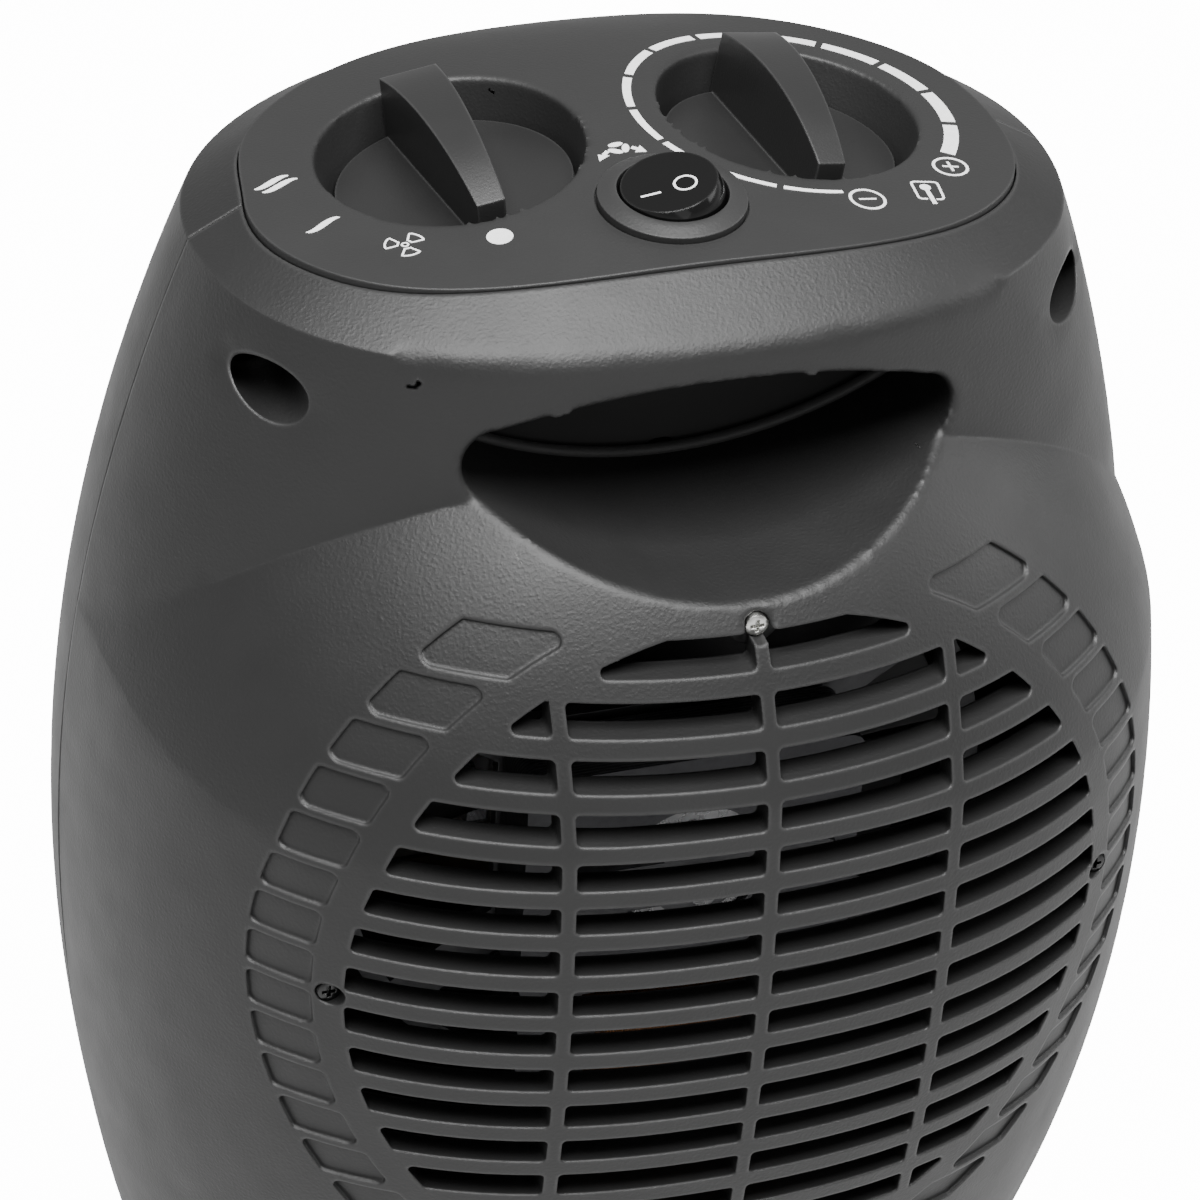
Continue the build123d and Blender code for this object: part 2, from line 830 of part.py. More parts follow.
# Knobs: a sunk disc with a tapered, arched blade that points at the marks
for side, rest, label in ((1, function_rest, "function"), (-1, thermostat_rest, "thermostat")):
    plane = turned(knob_plane(side), rest)
    disc_bottom = -recess_depth + knob_clearance
    with BuildPart() as knob:
        with BuildSketch(plane.offset(disc_bottom)):
            Circle(knob_radius)
        extrude(amount=knob_disc_thickness)
        with BuildSketch(plane.offset(disc_bottom)):
            Polygon(
                (-blade_tail_width / 2, blade_tail),
                (blade_tail_width / 2, blade_tail),
                (blade_tip_width / 2, blade_tip),
                (-blade_tip_width / 2, blade_tip),
                align=None,
            )
        extrude(amount=recess_depth + blade_mid_height)
        blade_top = Plane(
            origin=plane.origin, x_dir=plane.y_dir, z_dir=plane.x_dir
        )
        with BuildSketch(blade_top):
            with BuildLine():
                arch = ThreePointArc(
                    (blade_tail - 1, blade_tail_height - 0.3),
                    ((blade_tail + blade_tip) / 2, blade_mid_height),
                    (blade_tip + 1, blade_tip_height - 0.5),
                )
                Polyline(
                    (blade_tip + 1, blade_tip_height - 0.5),
                    (blade_tip + 1, blade_mid_height + 5),
                    (blade_tail - 1, blade_mid_height + 5),
                    (blade_tail - 1, blade_tail_height - 0.3),
                )
            make_face()
        extrude(amount=blade_tail_width, both=True, mode=Mode.SUBTRACT)
        with BuildSketch(plane.offset(disc_bottom)):
            Circle(shaft_radius + running_fit)
        extrude(amount=recess_depth / 2, mode=Mode.SUBTRACT)
    save(knob.part, label + "_knob")
    with BuildPart() as shaft:
        with BuildSketch(plane.offset(disc_bottom + recess_depth / 2 - rest_gap)):
            Circle(shaft_radius)
        extrude(amount=-recess_depth / 2 - shaft_length)
    save(shaft.part, label + "_shaft")

# Rocker switch: case with its bezel, and the round button on two trunnions
seat = rocker_plane()
with BuildPart() as rocker_case:
    with BuildSketch(seat.offset(-rocker_case_depth)):
        Circle(rocker_case_radius)
    extrude(amount=rocker_case_depth - bezel_seat)
    with BuildSketch(seat.offset(-bezel_seat)):
        Circle(bezel_radius)
    extrude(amount=bezel_seat + bezel_edge)
    with BuildSketch(seat.offset(bezel_edge)):
        Circle(bezel_radius)
    with BuildSketch(seat.offset(bezel_rise)):
        Circle(rocker_bore + 0.5)
    loft()
    with BuildSketch(seat.offset(bezel_rise)):
        Circle(rocker_bore)
    extrude(amount=wall / 2 - rocker_case_depth - bezel_rise, mode=Mode.SUBTRACT)
    with BuildSketch(Plane(origin=seat.origin, x_dir=(1, 0, 0), z_dir=seat.y_dir)):
        with Locations((0, -rocker_pivot)):
            Circle(trunnion_radius + running_fit)
    extrude(amount=rocker_case_radius + 1, both=True, mode=Mode.SUBTRACT)
    # Terminals under the case
    with BuildSketch(seat.offset(-rocker_case_depth)):
        with Locations((0, -rocker_case_radius / 2)):
            with GridLocations(7, 0, 2, 1):
                Rectangle(0.8, 4.8)
    extrude(amount=-terminal_length)
save(rocker_case.part, "rocker_case")

with BuildPart() as rocker_button:
    throw = math.radians(rocker_throw)
    tilted = Plane(
        origin=seat.offset(rocker_pivot).origin,
        x_dir=seat.x_dir * math.cos(throw) - seat.z_dir * math.sin(throw),
        z_dir=seat.z_dir * math.cos(throw) + seat.x_dir * math.sin(throw),
    )
    face_height = math.sqrt(rocker_radius**2 - rocker_face_radius**2)
    with Locations(tilted):
        Sphere(rocker_radius)
        Box(
            4 * rocker_radius, 4 * rocker_radius, face_height * 2,
            mode=Mode.INTERSECT,
        )
        Cylinder(trunnion_radius, 2 * rocker_case_radius - 0.6, rotation=(90, 0, 0))
save(rocker_button.part, "rocker_button")

# Switches under the recesses: a boxy selector and a thermostat with its bimetal stack
for side, label in ((1, "function_switch"), (-1, "thermostat_switch")):
    plane = knob_plane(side).offset(-recess_depth - recess_wall)
    with BuildPart() as switch:
        with BuildSketch(plane) as outline:
            if side > 0:
                RectangleRounded(switch_width, switch_width, 2)
            else:
                Circle(switch_width / 2)
        extrude(amount=-switch_depth if side > 0 else -switch_depth / 2)
        if side < 0:
            with BuildSketch(plane.offset(-switch_depth / 2)):
                Rectangle(switch_width * 1.3, switch_width / 3)
            extrude(amount=-switch_depth / 4)
        with BuildSketch(plane):
            Circle(shaft_hole_radius - rest_gap)
        extrude(amount=recess_wall)
        with BuildSketch(plane.offset(recess_wall)):
            Circle(shaft_radius + running_fit)
        extrude(amount=-shaft_length, mode=Mode.SUBTRACT)
        with BuildSketch(plane.offset(-switch_depth / 2)):
            rows = 2 if side > 0 else 1
            with GridLocations(switch_width + terminal_length, switch_width / 2, 2, rows):
                Rectangle(terminal_length + 1, 0.8)
        extrude(amount=-4.8)
    save(switch.part, label)

# Fan shroud: bulkhead with a round duct, three long posts and a short one under the scoop
with BuildPart() as fan_shroud:
    rear_face = bulkhead_y + bulkhead_thickness
    add(along_y(0, 0, bulkhead_y, rear_face, bulkhead_radius))
    add(along_y(0, 0, bulkhead_y, duct_rear_y, duct_radius + duct_wall))
    for x, rise in shroud_screws[:3]:
        add(along_y(x, rise, rear_face, rear_surface_at(x, grille_z + rise), post_radius))
    add(rear_outer.moved(Location((0, -grille_thickness - rest_gap, 0))), mode=Mode.INTERSECT)
    top_post_end = grip_back_y - rest_gap
    add(along_y(0, top_post_rise, rear_face, top_post_end, post_radius))
    add(along_y(0, 0, bulkhead_y, duct_rear_y, duct_radius), mode=Mode.SUBTRACT)
    for x, rise in shroud_screws:
        add(along_y(x, rise, rear_face, pod_far, small_shank + running_fit), mode=Mode.SUBTRACT)
save(fan_shroud.part, "fan_shroud")

# Motor mount: a ring on the duct's rear edge with four arms and a plate
with BuildPart() as motor_mount:
    mount_rear = duct_rear_y + mount_thickness
    add(along_y(0, 0, duct_rear_y, mount_rear, duct_radius + duct_wall))
    add(along_y(0, 0, duct_rear_y, mount_rear, duct_radius - 1), mode=Mode.SUBTRACT)
    with BuildSketch(Plane.XZ.offset(-mount_rear)):
        with Locations((0, grille_z)):
            for angle in (35, -35):
                Rectangle(2 * duct_radius + duct_wall, 8, rotation=angle)
            RectangleRounded(stack_width, stack_height, 4)
            Circle(stack_bore + 1, mode=Mode.SUBTRACT)
    extrude(amount=mount_thickness)
save(motor_mount.part, "motor_mount")

# Shaded pole motor: laminated core, coil, two bearing bridges, rotor and shaft
core_front = duct_rear_y + mount_thickness + bridge_thickness
core_rear = core_front + stack_depth
with BuildPart() as motor_core:
    with BuildSketch(Plane.XZ.offset(-core_rear)):
        with Locations((0, grille_z)):
            RectangleRounded(stack_width, stack_height, 3)
            Circle(stack_bore, mode=Mode.SUBTRACT)
    extrude(amount=stack_depth)
    with BuildSketch(Plane.XZ.offset(-core_rear)):
        with Locations((0, grille_z - stack_height / 2 - coil_drop / 2)):
            Rectangle(stack_width, coil_drop)
            Rectangle(stack_width * 0.62, coil_drop, mode=Mode.SUBTRACT)
        with Locations((0, grille_z - stack_height / 2 - coil_drop - limb_height / 2)):
            Rectangle(stack_width, limb_height)
    extrude(amount=stack_depth)
save(motor_core.part, "motor_core")

limb_z = grille_z - stack_height / 2 - coil_drop - limb_height / 2
with BuildPart() as motor_coil:
    core_middle = (core_front + core_rear) / 2
    with Locations((0, core_middle, limb_z)):
        Box(stack_width * 0.5, stack_depth + 2 * coil_build, limb_height + 2 * coil_build)
        with Locations((-stack_width * 0.25, 0, 0), (stack_width * 0.25, 0, 0)):
            Box(1.5, stack_depth + 2 * coil_build + 2, limb_height + 2 * coil_build + 2)
        Box(stack_width, stack_depth + 2 * rest_gap, limb_height + 2 * rest_gap, mode=Mode.SUBTRACT)
save(motor_coil.part, "motor_coil")

with BuildPart() as motor_bridges:
    for front in (core_front - bridge_thickness, core_rear):
        with BuildSketch(Plane.XZ.offset(-front - bridge_thickness)):
            with Locations((0, grille_z)):
                SlotCenterToCenter(stack_width * 0.72, 9)
                Circle(7.5)
                Circle(fan_shaft_radius + running_fit, mode=Mode.SUBTRACT)
        extrude(amount=bridge_thickness)
save(motor_bridges.part, "motor_bridges")

fan_rear_y = fan_front_y + fan_hub_length
with BuildPart() as fan_shaft:
    shaft_end = core_rear + bridge_thickness + 4
    add(along_y(0, 0, fan_front_y + 1, shaft_end, fan_shaft_radius))
    rotor_margin = 1.0
    add(along_y(0, 0, core_front + rotor_margin, core_rear - rotor_margin, rotor_radius))
save(fan_shaft.part, "fan_shaft")

with BuildPart() as fan_impeller:
    add(along_y(0, 0, fan_front_y, fan_rear_y, fan_hub_radius))
    middle = (fan_front_y + fan_rear_y) / 2
    for number in range(fan_blades):
        turn = 360 / fan_blades * number
        stations = (
            (fan_hub_radius - 1, fan_hub_length * 1.1, 55),
            (fan_radius * 0.6, fan_radius * 0.45, 38),
            (fan_radius, fan_radius * 0.7, 24),
        )
        sections = []
        for radius, chord, pitch in stations:
            a = math.radians(turn)
            outward = (math.cos(a), 0, math.sin(a))
            place = Plane(
                origin=(radius * outward[0], middle, grille_z + radius * outward[2]),
                x_dir=(0, 1, 0),
                z_dir=outward,
            )
            with BuildSketch(place) as blade_section:
                Rectangle(chord, fan_blade_thickness, rotation=90 - pitch)
            sections.append(blade_section.sketch)
        loft(sections)
    add(along_y(0, 0, fan_front_y - 2, fan_rear_y + 2, fan_radius), mode=Mode.INTERSECT)
    add(along_y(0, 0, fan_front_y, fan_rear_y, fan_shaft_radius + running_fit / 2), mode=Mode.SUBTRACT)
save(fan_impeller.part, "fan_impeller")

# Heating element: frame, ceramic bars and folded fins between them
opening_height = bar_count * bar_height + (bar_count - 1) * fin_height
frame_front_y = frame_rear_y - frame_depth
frame_width = element_width + 2 * frame_border
frame_height = opening_height + 2 * frame_border
with BuildPart() as heater_frame:
    with BuildSketch(Plane.XZ.offset(-frame_rear_y)):
        with Locations((0, grille_z)):
            RectangleRounded(frame_width, frame_height, 5)
            Rectangle(element_width, opening_height, mode=Mode.SUBTRACT)
    extrude(amount=frame_depth)
save(heater_frame.part, "heater_frame")

bar_pitch = bar_height + fin_height
element_middle = (frame_rear_y + frame_front_y) / 2
with BuildPart() as heating_bars:
    for row in range(bar_count):
        level = grille_z + (row - (bar_count - 1) / 2) * bar_pitch
        with Locations((0, element_middle, level)):
            Box(element_width, frame_depth - 2, bar_height)
save(heating_bars.part, "heating_bars")

with BuildPart() as heating_fins:
    folds = 2 * int(element_width / fin_pitch / 2)
    half = (fin_height - fin_play) / 2
    for row in range(bar_count - 1):
        level = grille_z + (row - (bar_count - 2) / 2) * bar_pitch
        with BuildSketch(Plane.XZ.offset(-(frame_rear_y - 1.5))):
            with Locations((0, level)):
                with GridLocations(fin_pitch, 0, folds, 1):
                    Rectangle(fin_thickness, 2 * half)
                for side, links in ((1, folds // 2), (-1, folds // 2 - 1)):
                    with Locations((0, side * (half - fin_thickness / 2))):
                        with GridLocations(2 * fin_pitch, 0, links, 1):
                            Rectangle(fin_pitch + fin_thickness, fin_thickness)
        extrude(amount=frame_depth - 3)
save(heating_fins.part, "heating_fins")

# Air duct from the shroud to the heating element
with BuildPart() as air_duct:
    with BuildSketch(Plane.XZ.offset(-bulkhead_y)):
        with Locations((0, grille_z)):
            RectangleRounded(frame_width, frame_height, 5)
            RectangleRounded(
                frame_width - 2 * duct_sheet, frame_height - 2 * duct_sheet, 4,
                mode=Mode.SUBTRACT,
            )
    extrude(amount=bulkhead_y - frame_rear_y)
save(air_duct.part, "air_duct")

# Safety devices on top of the element's frame
frame_top = grille_z + frame_height / 2
with BuildPart() as thermal_cutout:
    with BuildSketch(Plane.XY.offset(frame_top)):
        with Locations((cutout_x, element_middle)):
            Circle(cutout_radius)
    extrude(amount=cutout_height)
    with BuildSketch(Plane.XY.offset(frame_top + cutout_height)):
        with Locations((cutout_x, element_middle)):
            with GridLocations(cutout_radius, 0, 2, 1):
                Rectangle(0.8, 4.8)
    extrude(amount=terminal_length)
save(thermal_cutout.part, "thermal_cutout")

with BuildPart() as thermal_fuse:
    with Locations((-cutout_x, element_middle, frame_top + fuse_radius)):
        Cylinder(fuse_radius, fuse_length, rotation=(0, 90, 0))
        Cylinder(0.5, 3 * fuse_length, rotation=(0, 90, 0))
save(thermal_fuse.part, "thermal_fuse")

# Swivel neck: a flanged tube from the housing floor down through the base cover
neck_foot = base_height - base_wall - arm_clearance - arm_thickness - 3
floor_top = housing_floor + wall
with BuildPart() as swivel_neck:
    with BuildSketch(Plane.XY.offset(neck_foot)):
        Circle(neck_radius)
    extrude(amount=floor_top + neck_flange - neck_foot)
    with BuildSketch(Plane.XY.offset(floor_top)):
        Circle(neck_flange_radius)
    extrude(amount=neck_flange)
    with BuildSketch(Plane.XY.offset(neck_foot)):
        Circle(neck_bore)
    extrude(amount=floor_top + neck_flange - neck_foot, mode=Mode.SUBTRACT)
    with BuildSketch(Plane.XY.offset(floor_top)):
        with PolarLocations(neck_screw_ring, 4, start_angle=45):
            Circle(small_shank + screw_play)
    extrude(amount=neck_flange, mode=Mode.SUBTRACT)
save(swivel_neck.part, "swivel_neck")

with BuildPart() as neck_screws:
    with BuildSketch(Plane.XY.offset(floor_top + neck_flange)):
        with PolarLocations(neck_screw_ring, 4, start_angle=45):
            Circle(2 * small_shank)
    extrude(amount=1.4)
    with BuildSketch(Plane.XY.offset(floor_top)):
        with PolarLocations(neck_screw_ring, 4, start_angle=45):
            Circle(small_shank)
    extrude(amount=neck_flange)
save(neck_screws.part, "neck_screws")

# Drive arm: clamped on the neck, its slot takes the crank's roller
arm_top = base_height - base_wall - arm_clearance
near_pin = math.hypot(crank_distance, crank_throw)
far_pin = crank_distance + crank_throw
arm_end = far_pin + roller_radius + slot_play + 2.5
slot_width = 2 * (roller_radius + slot_play)
with BuildPart() as drive_arm:
    with BuildSketch(Plane.XY.offset(arm_top - arm_thickness)):
        Circle(neck_radius + 5)
        with Locations((0, arm_end / 2)):
            RectangleRounded(arm_width, arm_end, 3)
        Circle(neck_radius + running_fit, mode=Mode.SUBTRACT)
        with Locations((0, (near_pin + far_pin) / 2)):
            SlotCenterToCenter(far_pin - near_pin + 2, slot_width, rotation=90, mode=Mode.SUBTRACT)
    extrude(amount=arm_thickness)
save(drive_arm.part, "drive_arm")

# Crank on the gear motor's shaft
with BuildPart() as crank_disc:
    with BuildSketch(Plane.XY.offset(crank_level)):
        with Locations((0, crank_distance)):
            Circle(crank_disc_radius)
    extrude(amount=crank_disc_thickness)
    with BuildSketch(Plane.XY.offset(crank_level - crank_hub)):
        with Locations((0, crank_distance)):
            Circle(6)
    extrude(amount=crank_hub)
    with BuildSketch(Plane.XY.offset(crank_level)):
        with Locations((0, far_pin)):
            Circle(roller_radius - 1)
    extrude(amount=arm_top - crank_level)
    with BuildSketch(Plane.XY.offset(crank_level - crank_hub)):
        with Locations((0, crank_distance)):
            Circle(gear_shaft_radius + running_fit)
    extrude(amount=crank_hub + 1, mode=Mode.SUBTRACT)
save(crank_disc.part, "crank_disc")

with BuildPart() as crank_roller:
    with BuildSketch(Plane.XY.offset(crank_level + crank_disc_thickness)):
        with Locations((0, far_pin)):
            Circle(roller_radius)
            Circle(roller_radius - 1 + running_fit, mode=Mode.SUBTRACT)
    extrude(amount=arm_top - crank_level - crank_disc_thickness)
save(crank_roller.part, "crank_roller")

# Base: cover, bottom plate, feet, screws, turntable ring and gear motor
plate_top = foot_height + plate_thickness
post_low = plate_top + rest_gap


def cover_outline(drop):
    """Side view of the base cover, lowered and narrowed by drop."""
    with BuildSketch(Plane.XZ) as outline:
        with BuildLine():
            side_top = (base_radius - drop, base_side)
            crown = (base_crown_radius, base_height - drop)
            Line((base_radius - drop, foot_height), side_top)
            Spline(side_top, crown, tangents=[(0, 1), (-1, 0)], tangent_scalars=[1, 1])
            Polyline(crown, (0, base_height - drop), (0, foot_height), (base_radius - drop, foot_height))
        make_face()
    return outline.sketch


with BuildPart() as cover_solid:
    revolve(cover_outline(0), axis=Axis.Z)

with BuildPart() as cover_hollow:
    revolve(cover_outline(base_wall), axis=Axis.Z)

with BuildPart() as cover_posts:
    with BuildSketch(Plane.XY.offset(post_low)):
        with PolarLocations(base_screw_ring, 4, start_angle=20, angular_range=360):
            Circle(4)
    extrude(amount=base_height)
    add(cover_solid.part, mode=Mode.INTERSECT)

with BuildPart() as base_cover:
    add(cover_solid.part)
    add(cover_hollow.part, mode=Mode.SUBTRACT)
    add(cover_posts.part)
    with BuildSketch(Plane.XY.offset(base_height)):
        Circle(neck_radius + neck_clearance)
    extrude(amount=-2 * base_wall, mode=Mode.SUBTRACT)
    with BuildSketch(Plane.XY.offset(post_low)):
        with PolarLocations(base_screw_ring, 4, start_angle=20):
            Circle(small_shank + running_fit)
    extrude(amount=10, mode=Mode.SUBTRACT)
    with BuildSketch(Plane.XZ.offset(-base_radius - 1)):
        with Locations((0, cord_hole_z)):
            Circle(cord_hole_radius)
    extrude(amount=2 * base_wall + 2, mode=Mode.SUBTRACT)
save(base_cover.part, "base_cover")

with BuildPart() as base_plate:
    with BuildSketch(Plane.XY.offset(foot_height)):
        Circle(base_radius - base_wall - rest_gap)
        with PolarLocations(base_screw_ring, 4, start_angle=20):
            Circle(small_shank + screw_play, mode=Mode.SUBTRACT)
        with PolarLocations(foot_ring, 4, start_angle=65):
            Circle(3, mode=Mode.SUBTRACT)
    extrude(amount=plate_thickness)
save(base_plate.part, "base_plate")

with BuildPart() as rubber_feet:
    with BuildSketch(Plane.XY):
        with PolarLocations(foot_ring, 4, start_angle=65):
            Circle(foot_radius)
    extrude(amount=foot_height)
    with BuildSketch(Plane.XY.offset(foot_height)):
        with PolarLocations(foot_ring, 4, start_angle=65):
            Circle(3 - running_fit)
    extrude(amount=plate_thickness)
save(rubber_feet.part, "rubber_feet")

with BuildPart() as base_screws:
    with BuildSketch(Plane.XY.offset(foot_height - 1.4)):
        with PolarLocations(base_screw_ring, 4, start_angle=20):
            Circle(2 * small_shank)
    extrude(amount=1.4)
    with BuildSketch(Plane.XY.offset(foot_height)):
        with PolarLocations(base_screw_ring, 4, start_angle=20):
            Circle(small_shank)
    extrude(amount=plate_thickness + 6)
save(base_screws.part, "base_screws")

with BuildPart() as glide_ring:
    with BuildSketch(Plane.XY.offset(base_height)):
        Circle(glide_radius)
        Circle(neck_radius + neck_clearance, mode=Mode.SUBTRACT)
    extrude(amount=turntable_gap - rest_gap)
save(glide_ring.part, "glide_ring")

gear_motor_y = crank_distance + gear_motor_offset
with BuildPart() as gear_motor:
    with BuildSketch(Plane.XY.offset(plate_top)):
        with Locations((0, gear_motor_y)):
            Circle(gear_motor_radius)
    extrude(amount=gear_motor_height)
    with BuildSketch(Plane.XY.offset(plate_top)):
        with Locations((0, gear_motor_y)):
            SlotCenterToCenter(2 * gear_motor_radius + 8, 9)
            with GridLocations(2 * gear_motor_radius + 8, 0, 2, 1):
                Circle(small_shank + screw_play, mode=Mode.SUBTRACT)
    extrude(amount=1.2)
    with BuildSketch(Plane.XY.offset(plate_top + gear_motor_height)):
        with Locations((0, crank_distance)):
            Circle(gear_shaft_radius)
    extrude(amount=crank_level - plate_top - gear_motor_height)
save(gear_motor.part, "gear_motor")

with BuildPart() as gear_motor_screws:
    with BuildSketch(Plane.XY.offset(plate_top + 1.2)):
        with Locations((0, gear_motor_y)):
            with GridLocations(2 * gear_motor_radius + 8, 0, 2, 1):
                Circle(2 * small_shank)
    extrude(amount=1.4)
    with BuildSketch(Plane.XY.offset(plate_top)):
        with Locations((0, gear_motor_y)):
            with GridLocations(2 * gear_motor_radius + 8, 0, 2, 1):
                Circle(small_shank)
    extrude(amount=1.2)
save(gear_motor_screws.part, "gear_motor_screws")
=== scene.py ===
"""Oscillating ceramic fan heater, seen from behind and above on a pale tabletop."""

import json
import math

import bmesh
import bpy
import numpy as np
from mathutils import Matrix

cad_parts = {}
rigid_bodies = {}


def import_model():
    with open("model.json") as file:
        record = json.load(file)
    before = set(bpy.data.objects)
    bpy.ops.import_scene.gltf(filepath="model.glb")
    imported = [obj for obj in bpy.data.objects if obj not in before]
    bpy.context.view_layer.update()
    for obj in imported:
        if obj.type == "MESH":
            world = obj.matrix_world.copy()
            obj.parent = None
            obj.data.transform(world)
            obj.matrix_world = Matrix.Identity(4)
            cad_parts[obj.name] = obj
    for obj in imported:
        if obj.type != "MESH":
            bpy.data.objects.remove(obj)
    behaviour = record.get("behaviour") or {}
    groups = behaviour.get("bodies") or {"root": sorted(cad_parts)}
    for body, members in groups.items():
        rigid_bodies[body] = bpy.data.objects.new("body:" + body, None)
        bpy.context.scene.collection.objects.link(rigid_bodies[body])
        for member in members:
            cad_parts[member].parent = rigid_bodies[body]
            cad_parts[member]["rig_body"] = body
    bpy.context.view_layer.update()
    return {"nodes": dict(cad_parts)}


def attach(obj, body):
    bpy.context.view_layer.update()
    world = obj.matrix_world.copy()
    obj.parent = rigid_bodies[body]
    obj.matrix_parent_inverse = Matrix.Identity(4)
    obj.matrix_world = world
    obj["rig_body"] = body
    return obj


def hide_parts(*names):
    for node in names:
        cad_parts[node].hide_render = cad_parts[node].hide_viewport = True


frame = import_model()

# Camera: a longish lens a little left of the heater's rear, looking down on
# the control panel. Metres, in the frame of the part.
camera_data = bpy.data.cameras.new("camera")
camera_data.sensor_width = 36.0
camera_data.lens = 135.3
camera_data.clip_start = 0.01
camera_data.clip_end = 20.0
camera = bpy.data.objects.new("camera", camera_data)
bpy.context.collection.objects.link(camera)
camera_right = (-0.9503, 0.3074, 0.0500)
camera_up = (-0.1377, -0.5588, 0.8178)
camera_back = (0.2793, 0.7702, 0.5733)
camera_place = (0.21627, 0.58907, 0.61069)
camera.matrix_world = Matrix(
    (*zip(camera_right, camera_up, camera_back, camera_place), (0.0, 0.0, 0.0, 1.0)))
bpy.context.scene.camera = camera

# Tabletop and studio: one pale sheet that runs on past the view, a white
# surround that lights it evenly, and soft boxes overhead, at the right and behind.


def put(tree, kind, values=None, **settings):
    """A shader node of one kind; a value that is a socket is linked, any other is set."""
    made = tree.nodes.new(kind)
    for key, value in settings.items():
        setattr(made, key, value)
    for key, value in (values or {}).items():
        if isinstance(value, bpy.types.NodeSocket):
            tree.links.new(value, made.inputs[key])
        else:
            made.inputs[key].default_value = value
    return made


def maths(tree, operation, *operands, **settings):
    """The output of one Math node on the given sockets or numbers."""
    return put(tree, "ShaderNodeMath", dict(enumerate(operands)), operation=operation,
               **settings).outputs[0]


def blank_material(name):
    """A material with an empty node tree and its output node."""
    made = bpy.data.materials.new(name)
    made.use_nodes = True
    made.node_tree.nodes.clear()
    return made, put(made.node_tree, "ShaderNodeOutputMaterial")


table_reach = 6.0
table_mesh = bpy.data.meshes.new("tabletop")
table_mesh.from_pydata(
    [(-table_reach, -table_reach, 0.0), (table_reach, -table_reach, 0.0),
     (table_reach, table_reach, 0.0), (-table_reach, table_reach, 0.0)],
    [],
    [(0, 1, 2, 3)],
)
tabletop = bpy.data.objects.new("tabletop", table_mesh)
bpy.context.collection.objects.link(tabletop)

table_finish, table_output = blank_material("white_tabletop")
table_tree = table_finish.node_tree
table_seen, table_mirrored = 14.0, 0.6
glance = put(table_tree, "ShaderNodeLightPath")
seen = maths(table_tree, "MULTIPLY", glance.outputs["Is Camera Ray"], table_seen)
glow = maths(table_tree, "MULTIPLY_ADD", glance.outputs["Is Glossy Ray"], table_mirrored, seen)
table_shader = put(table_tree, "ShaderNodeBsdfPrincipled", {
    "Base Color": (0.4, 0.4, 0.4, 1.0),
    "Roughness": 0.8,
    "Emission Color": (1.0, 1.0, 1.0, 1.0),
    "Emission Strength": glow,
})
table_tree.links.new(table_shader.outputs[0], table_output.inputs["Surface"])
table_mesh.materials.append(table_finish)

surround = bpy.data.worlds.new("white_studio")
surround.use_nodes = True
sky_tree = surround.node_tree
sky_lit, sky_mirrored = 0.16, 0.3
glance = put(sky_tree, "ShaderNodeLightPath")
sky_light = maths(
    sky_tree, "MULTIPLY_ADD", glance.outputs["Is Glossy Ray"], sky_mirrored, sky_lit)
sky = sky_tree.nodes["Background"]
sky.inputs["Color"].default_value = (1.0, 1.0, 1.0, 1.0)
sky_tree.links.new(sky_light, sky.inputs["Strength"])
bpy.context.scene.world = surround


def soft_box(name, place, aim, size, power):
    """A rectangular lamp at place whose face looks at aim."""
    lamp = bpy.data.lights.new(name, "AREA")
    lamp.shape = "RECTANGLE"
    lamp.size = size[0]
    lamp.size_y = size[1]
    lamp.energy = power
    holder = bpy.data.objects.new(name, lamp)
    bpy.context.collection.objects.link(holder)
    away = np.array(place, float) - np.array(aim, float)
    away /= np.linalg.norm(away)
    side = np.cross((0.0, 1.0, 0.0), away)
    side /= np.linalg.norm(side)
    up = np.cross(away, side)
    holder.matrix_world = Matrix(
        [[side[i], up[i], away[i], place[i]] for i in range(3)] + [[0, 0, 0, 1]])


soft_box("overhead_box", (0.1, 0.35, 1.3), (0.0, 0.0, 0.2), (1.1, 0.8), 43.0)
soft_box("right_box", (-1.4, 0.15, 0.7), (0.0, 0.0, 0.15), (0.7, 1.0), 7.0)
soft_box("rear_box", (-0.1, 1.6, 0.35), (0.0, 0.0, 0.2), (0.9, 0.5), 1.3)

# Rear shell: the back half, with the intake slots and the scooped grip, moulded
# in charcoal polypropylene with a fine eroded grain. Its edges are painted paler,
# partly as wear and partly as a painted highlight, and the grip's lip is well rounded.


def node_group(name, inputs, outputs):
    """A shader node group with float inputs and typed outputs: its tree, entry and exit."""
    tree = bpy.data.node_groups.new(name, "ShaderNodeTree")
    for label, value in inputs.items():
        socket = tree.interface.new_socket(label, in_out="INPUT", socket_type="NodeSocketFloat")
        socket.default_value = value
    for label, kind in outputs.items():
        tree.interface.new_socket(label, in_out="OUTPUT", socket_type="NodeSocket" + kind)
    return tree, put(tree, "NodeGroupInput"), put(tree, "NodeGroupOutput")


# Grain of a moulded face: pebbles of one cell size, with a slow drift of tone and of gloss.
grain_tree, entry, leave = node_group(
    "moulded_grain", {"Cell": 0.0004, "Drift": 0.02},
    {"Height": "Float", "Tone": "Float", "Gloss": "Float"})
where = put(grain_tree, "ShaderNodeTexCoord").outputs["Object"]
fine_scale = maths(grain_tree, "DIVIDE", 1.0, entry.outputs["Cell"])
slow_scale = maths(grain_tree, "DIVIDE", 1.0, entry.outputs["Drift"])
pebbles = put(grain_tree, "ShaderNodeTexVoronoi", {
    "Vector": where, "Scale": fine_scale, "Smoothness": 0.8,
}, feature="SMOOTH_F1")
speckle = put(grain_tree, "ShaderNodeTexNoise", {
    "Vector": where, "Scale": fine_scale, "Detail": 3.0, "Roughness": 0.6})
bumps = maths(grain_tree, "MULTIPLY_ADD", pebbles.outputs["Distance"], -0.7, 1.0)
grain = maths(grain_tree, "MULTIPLY", bumps, speckle.outputs[0])
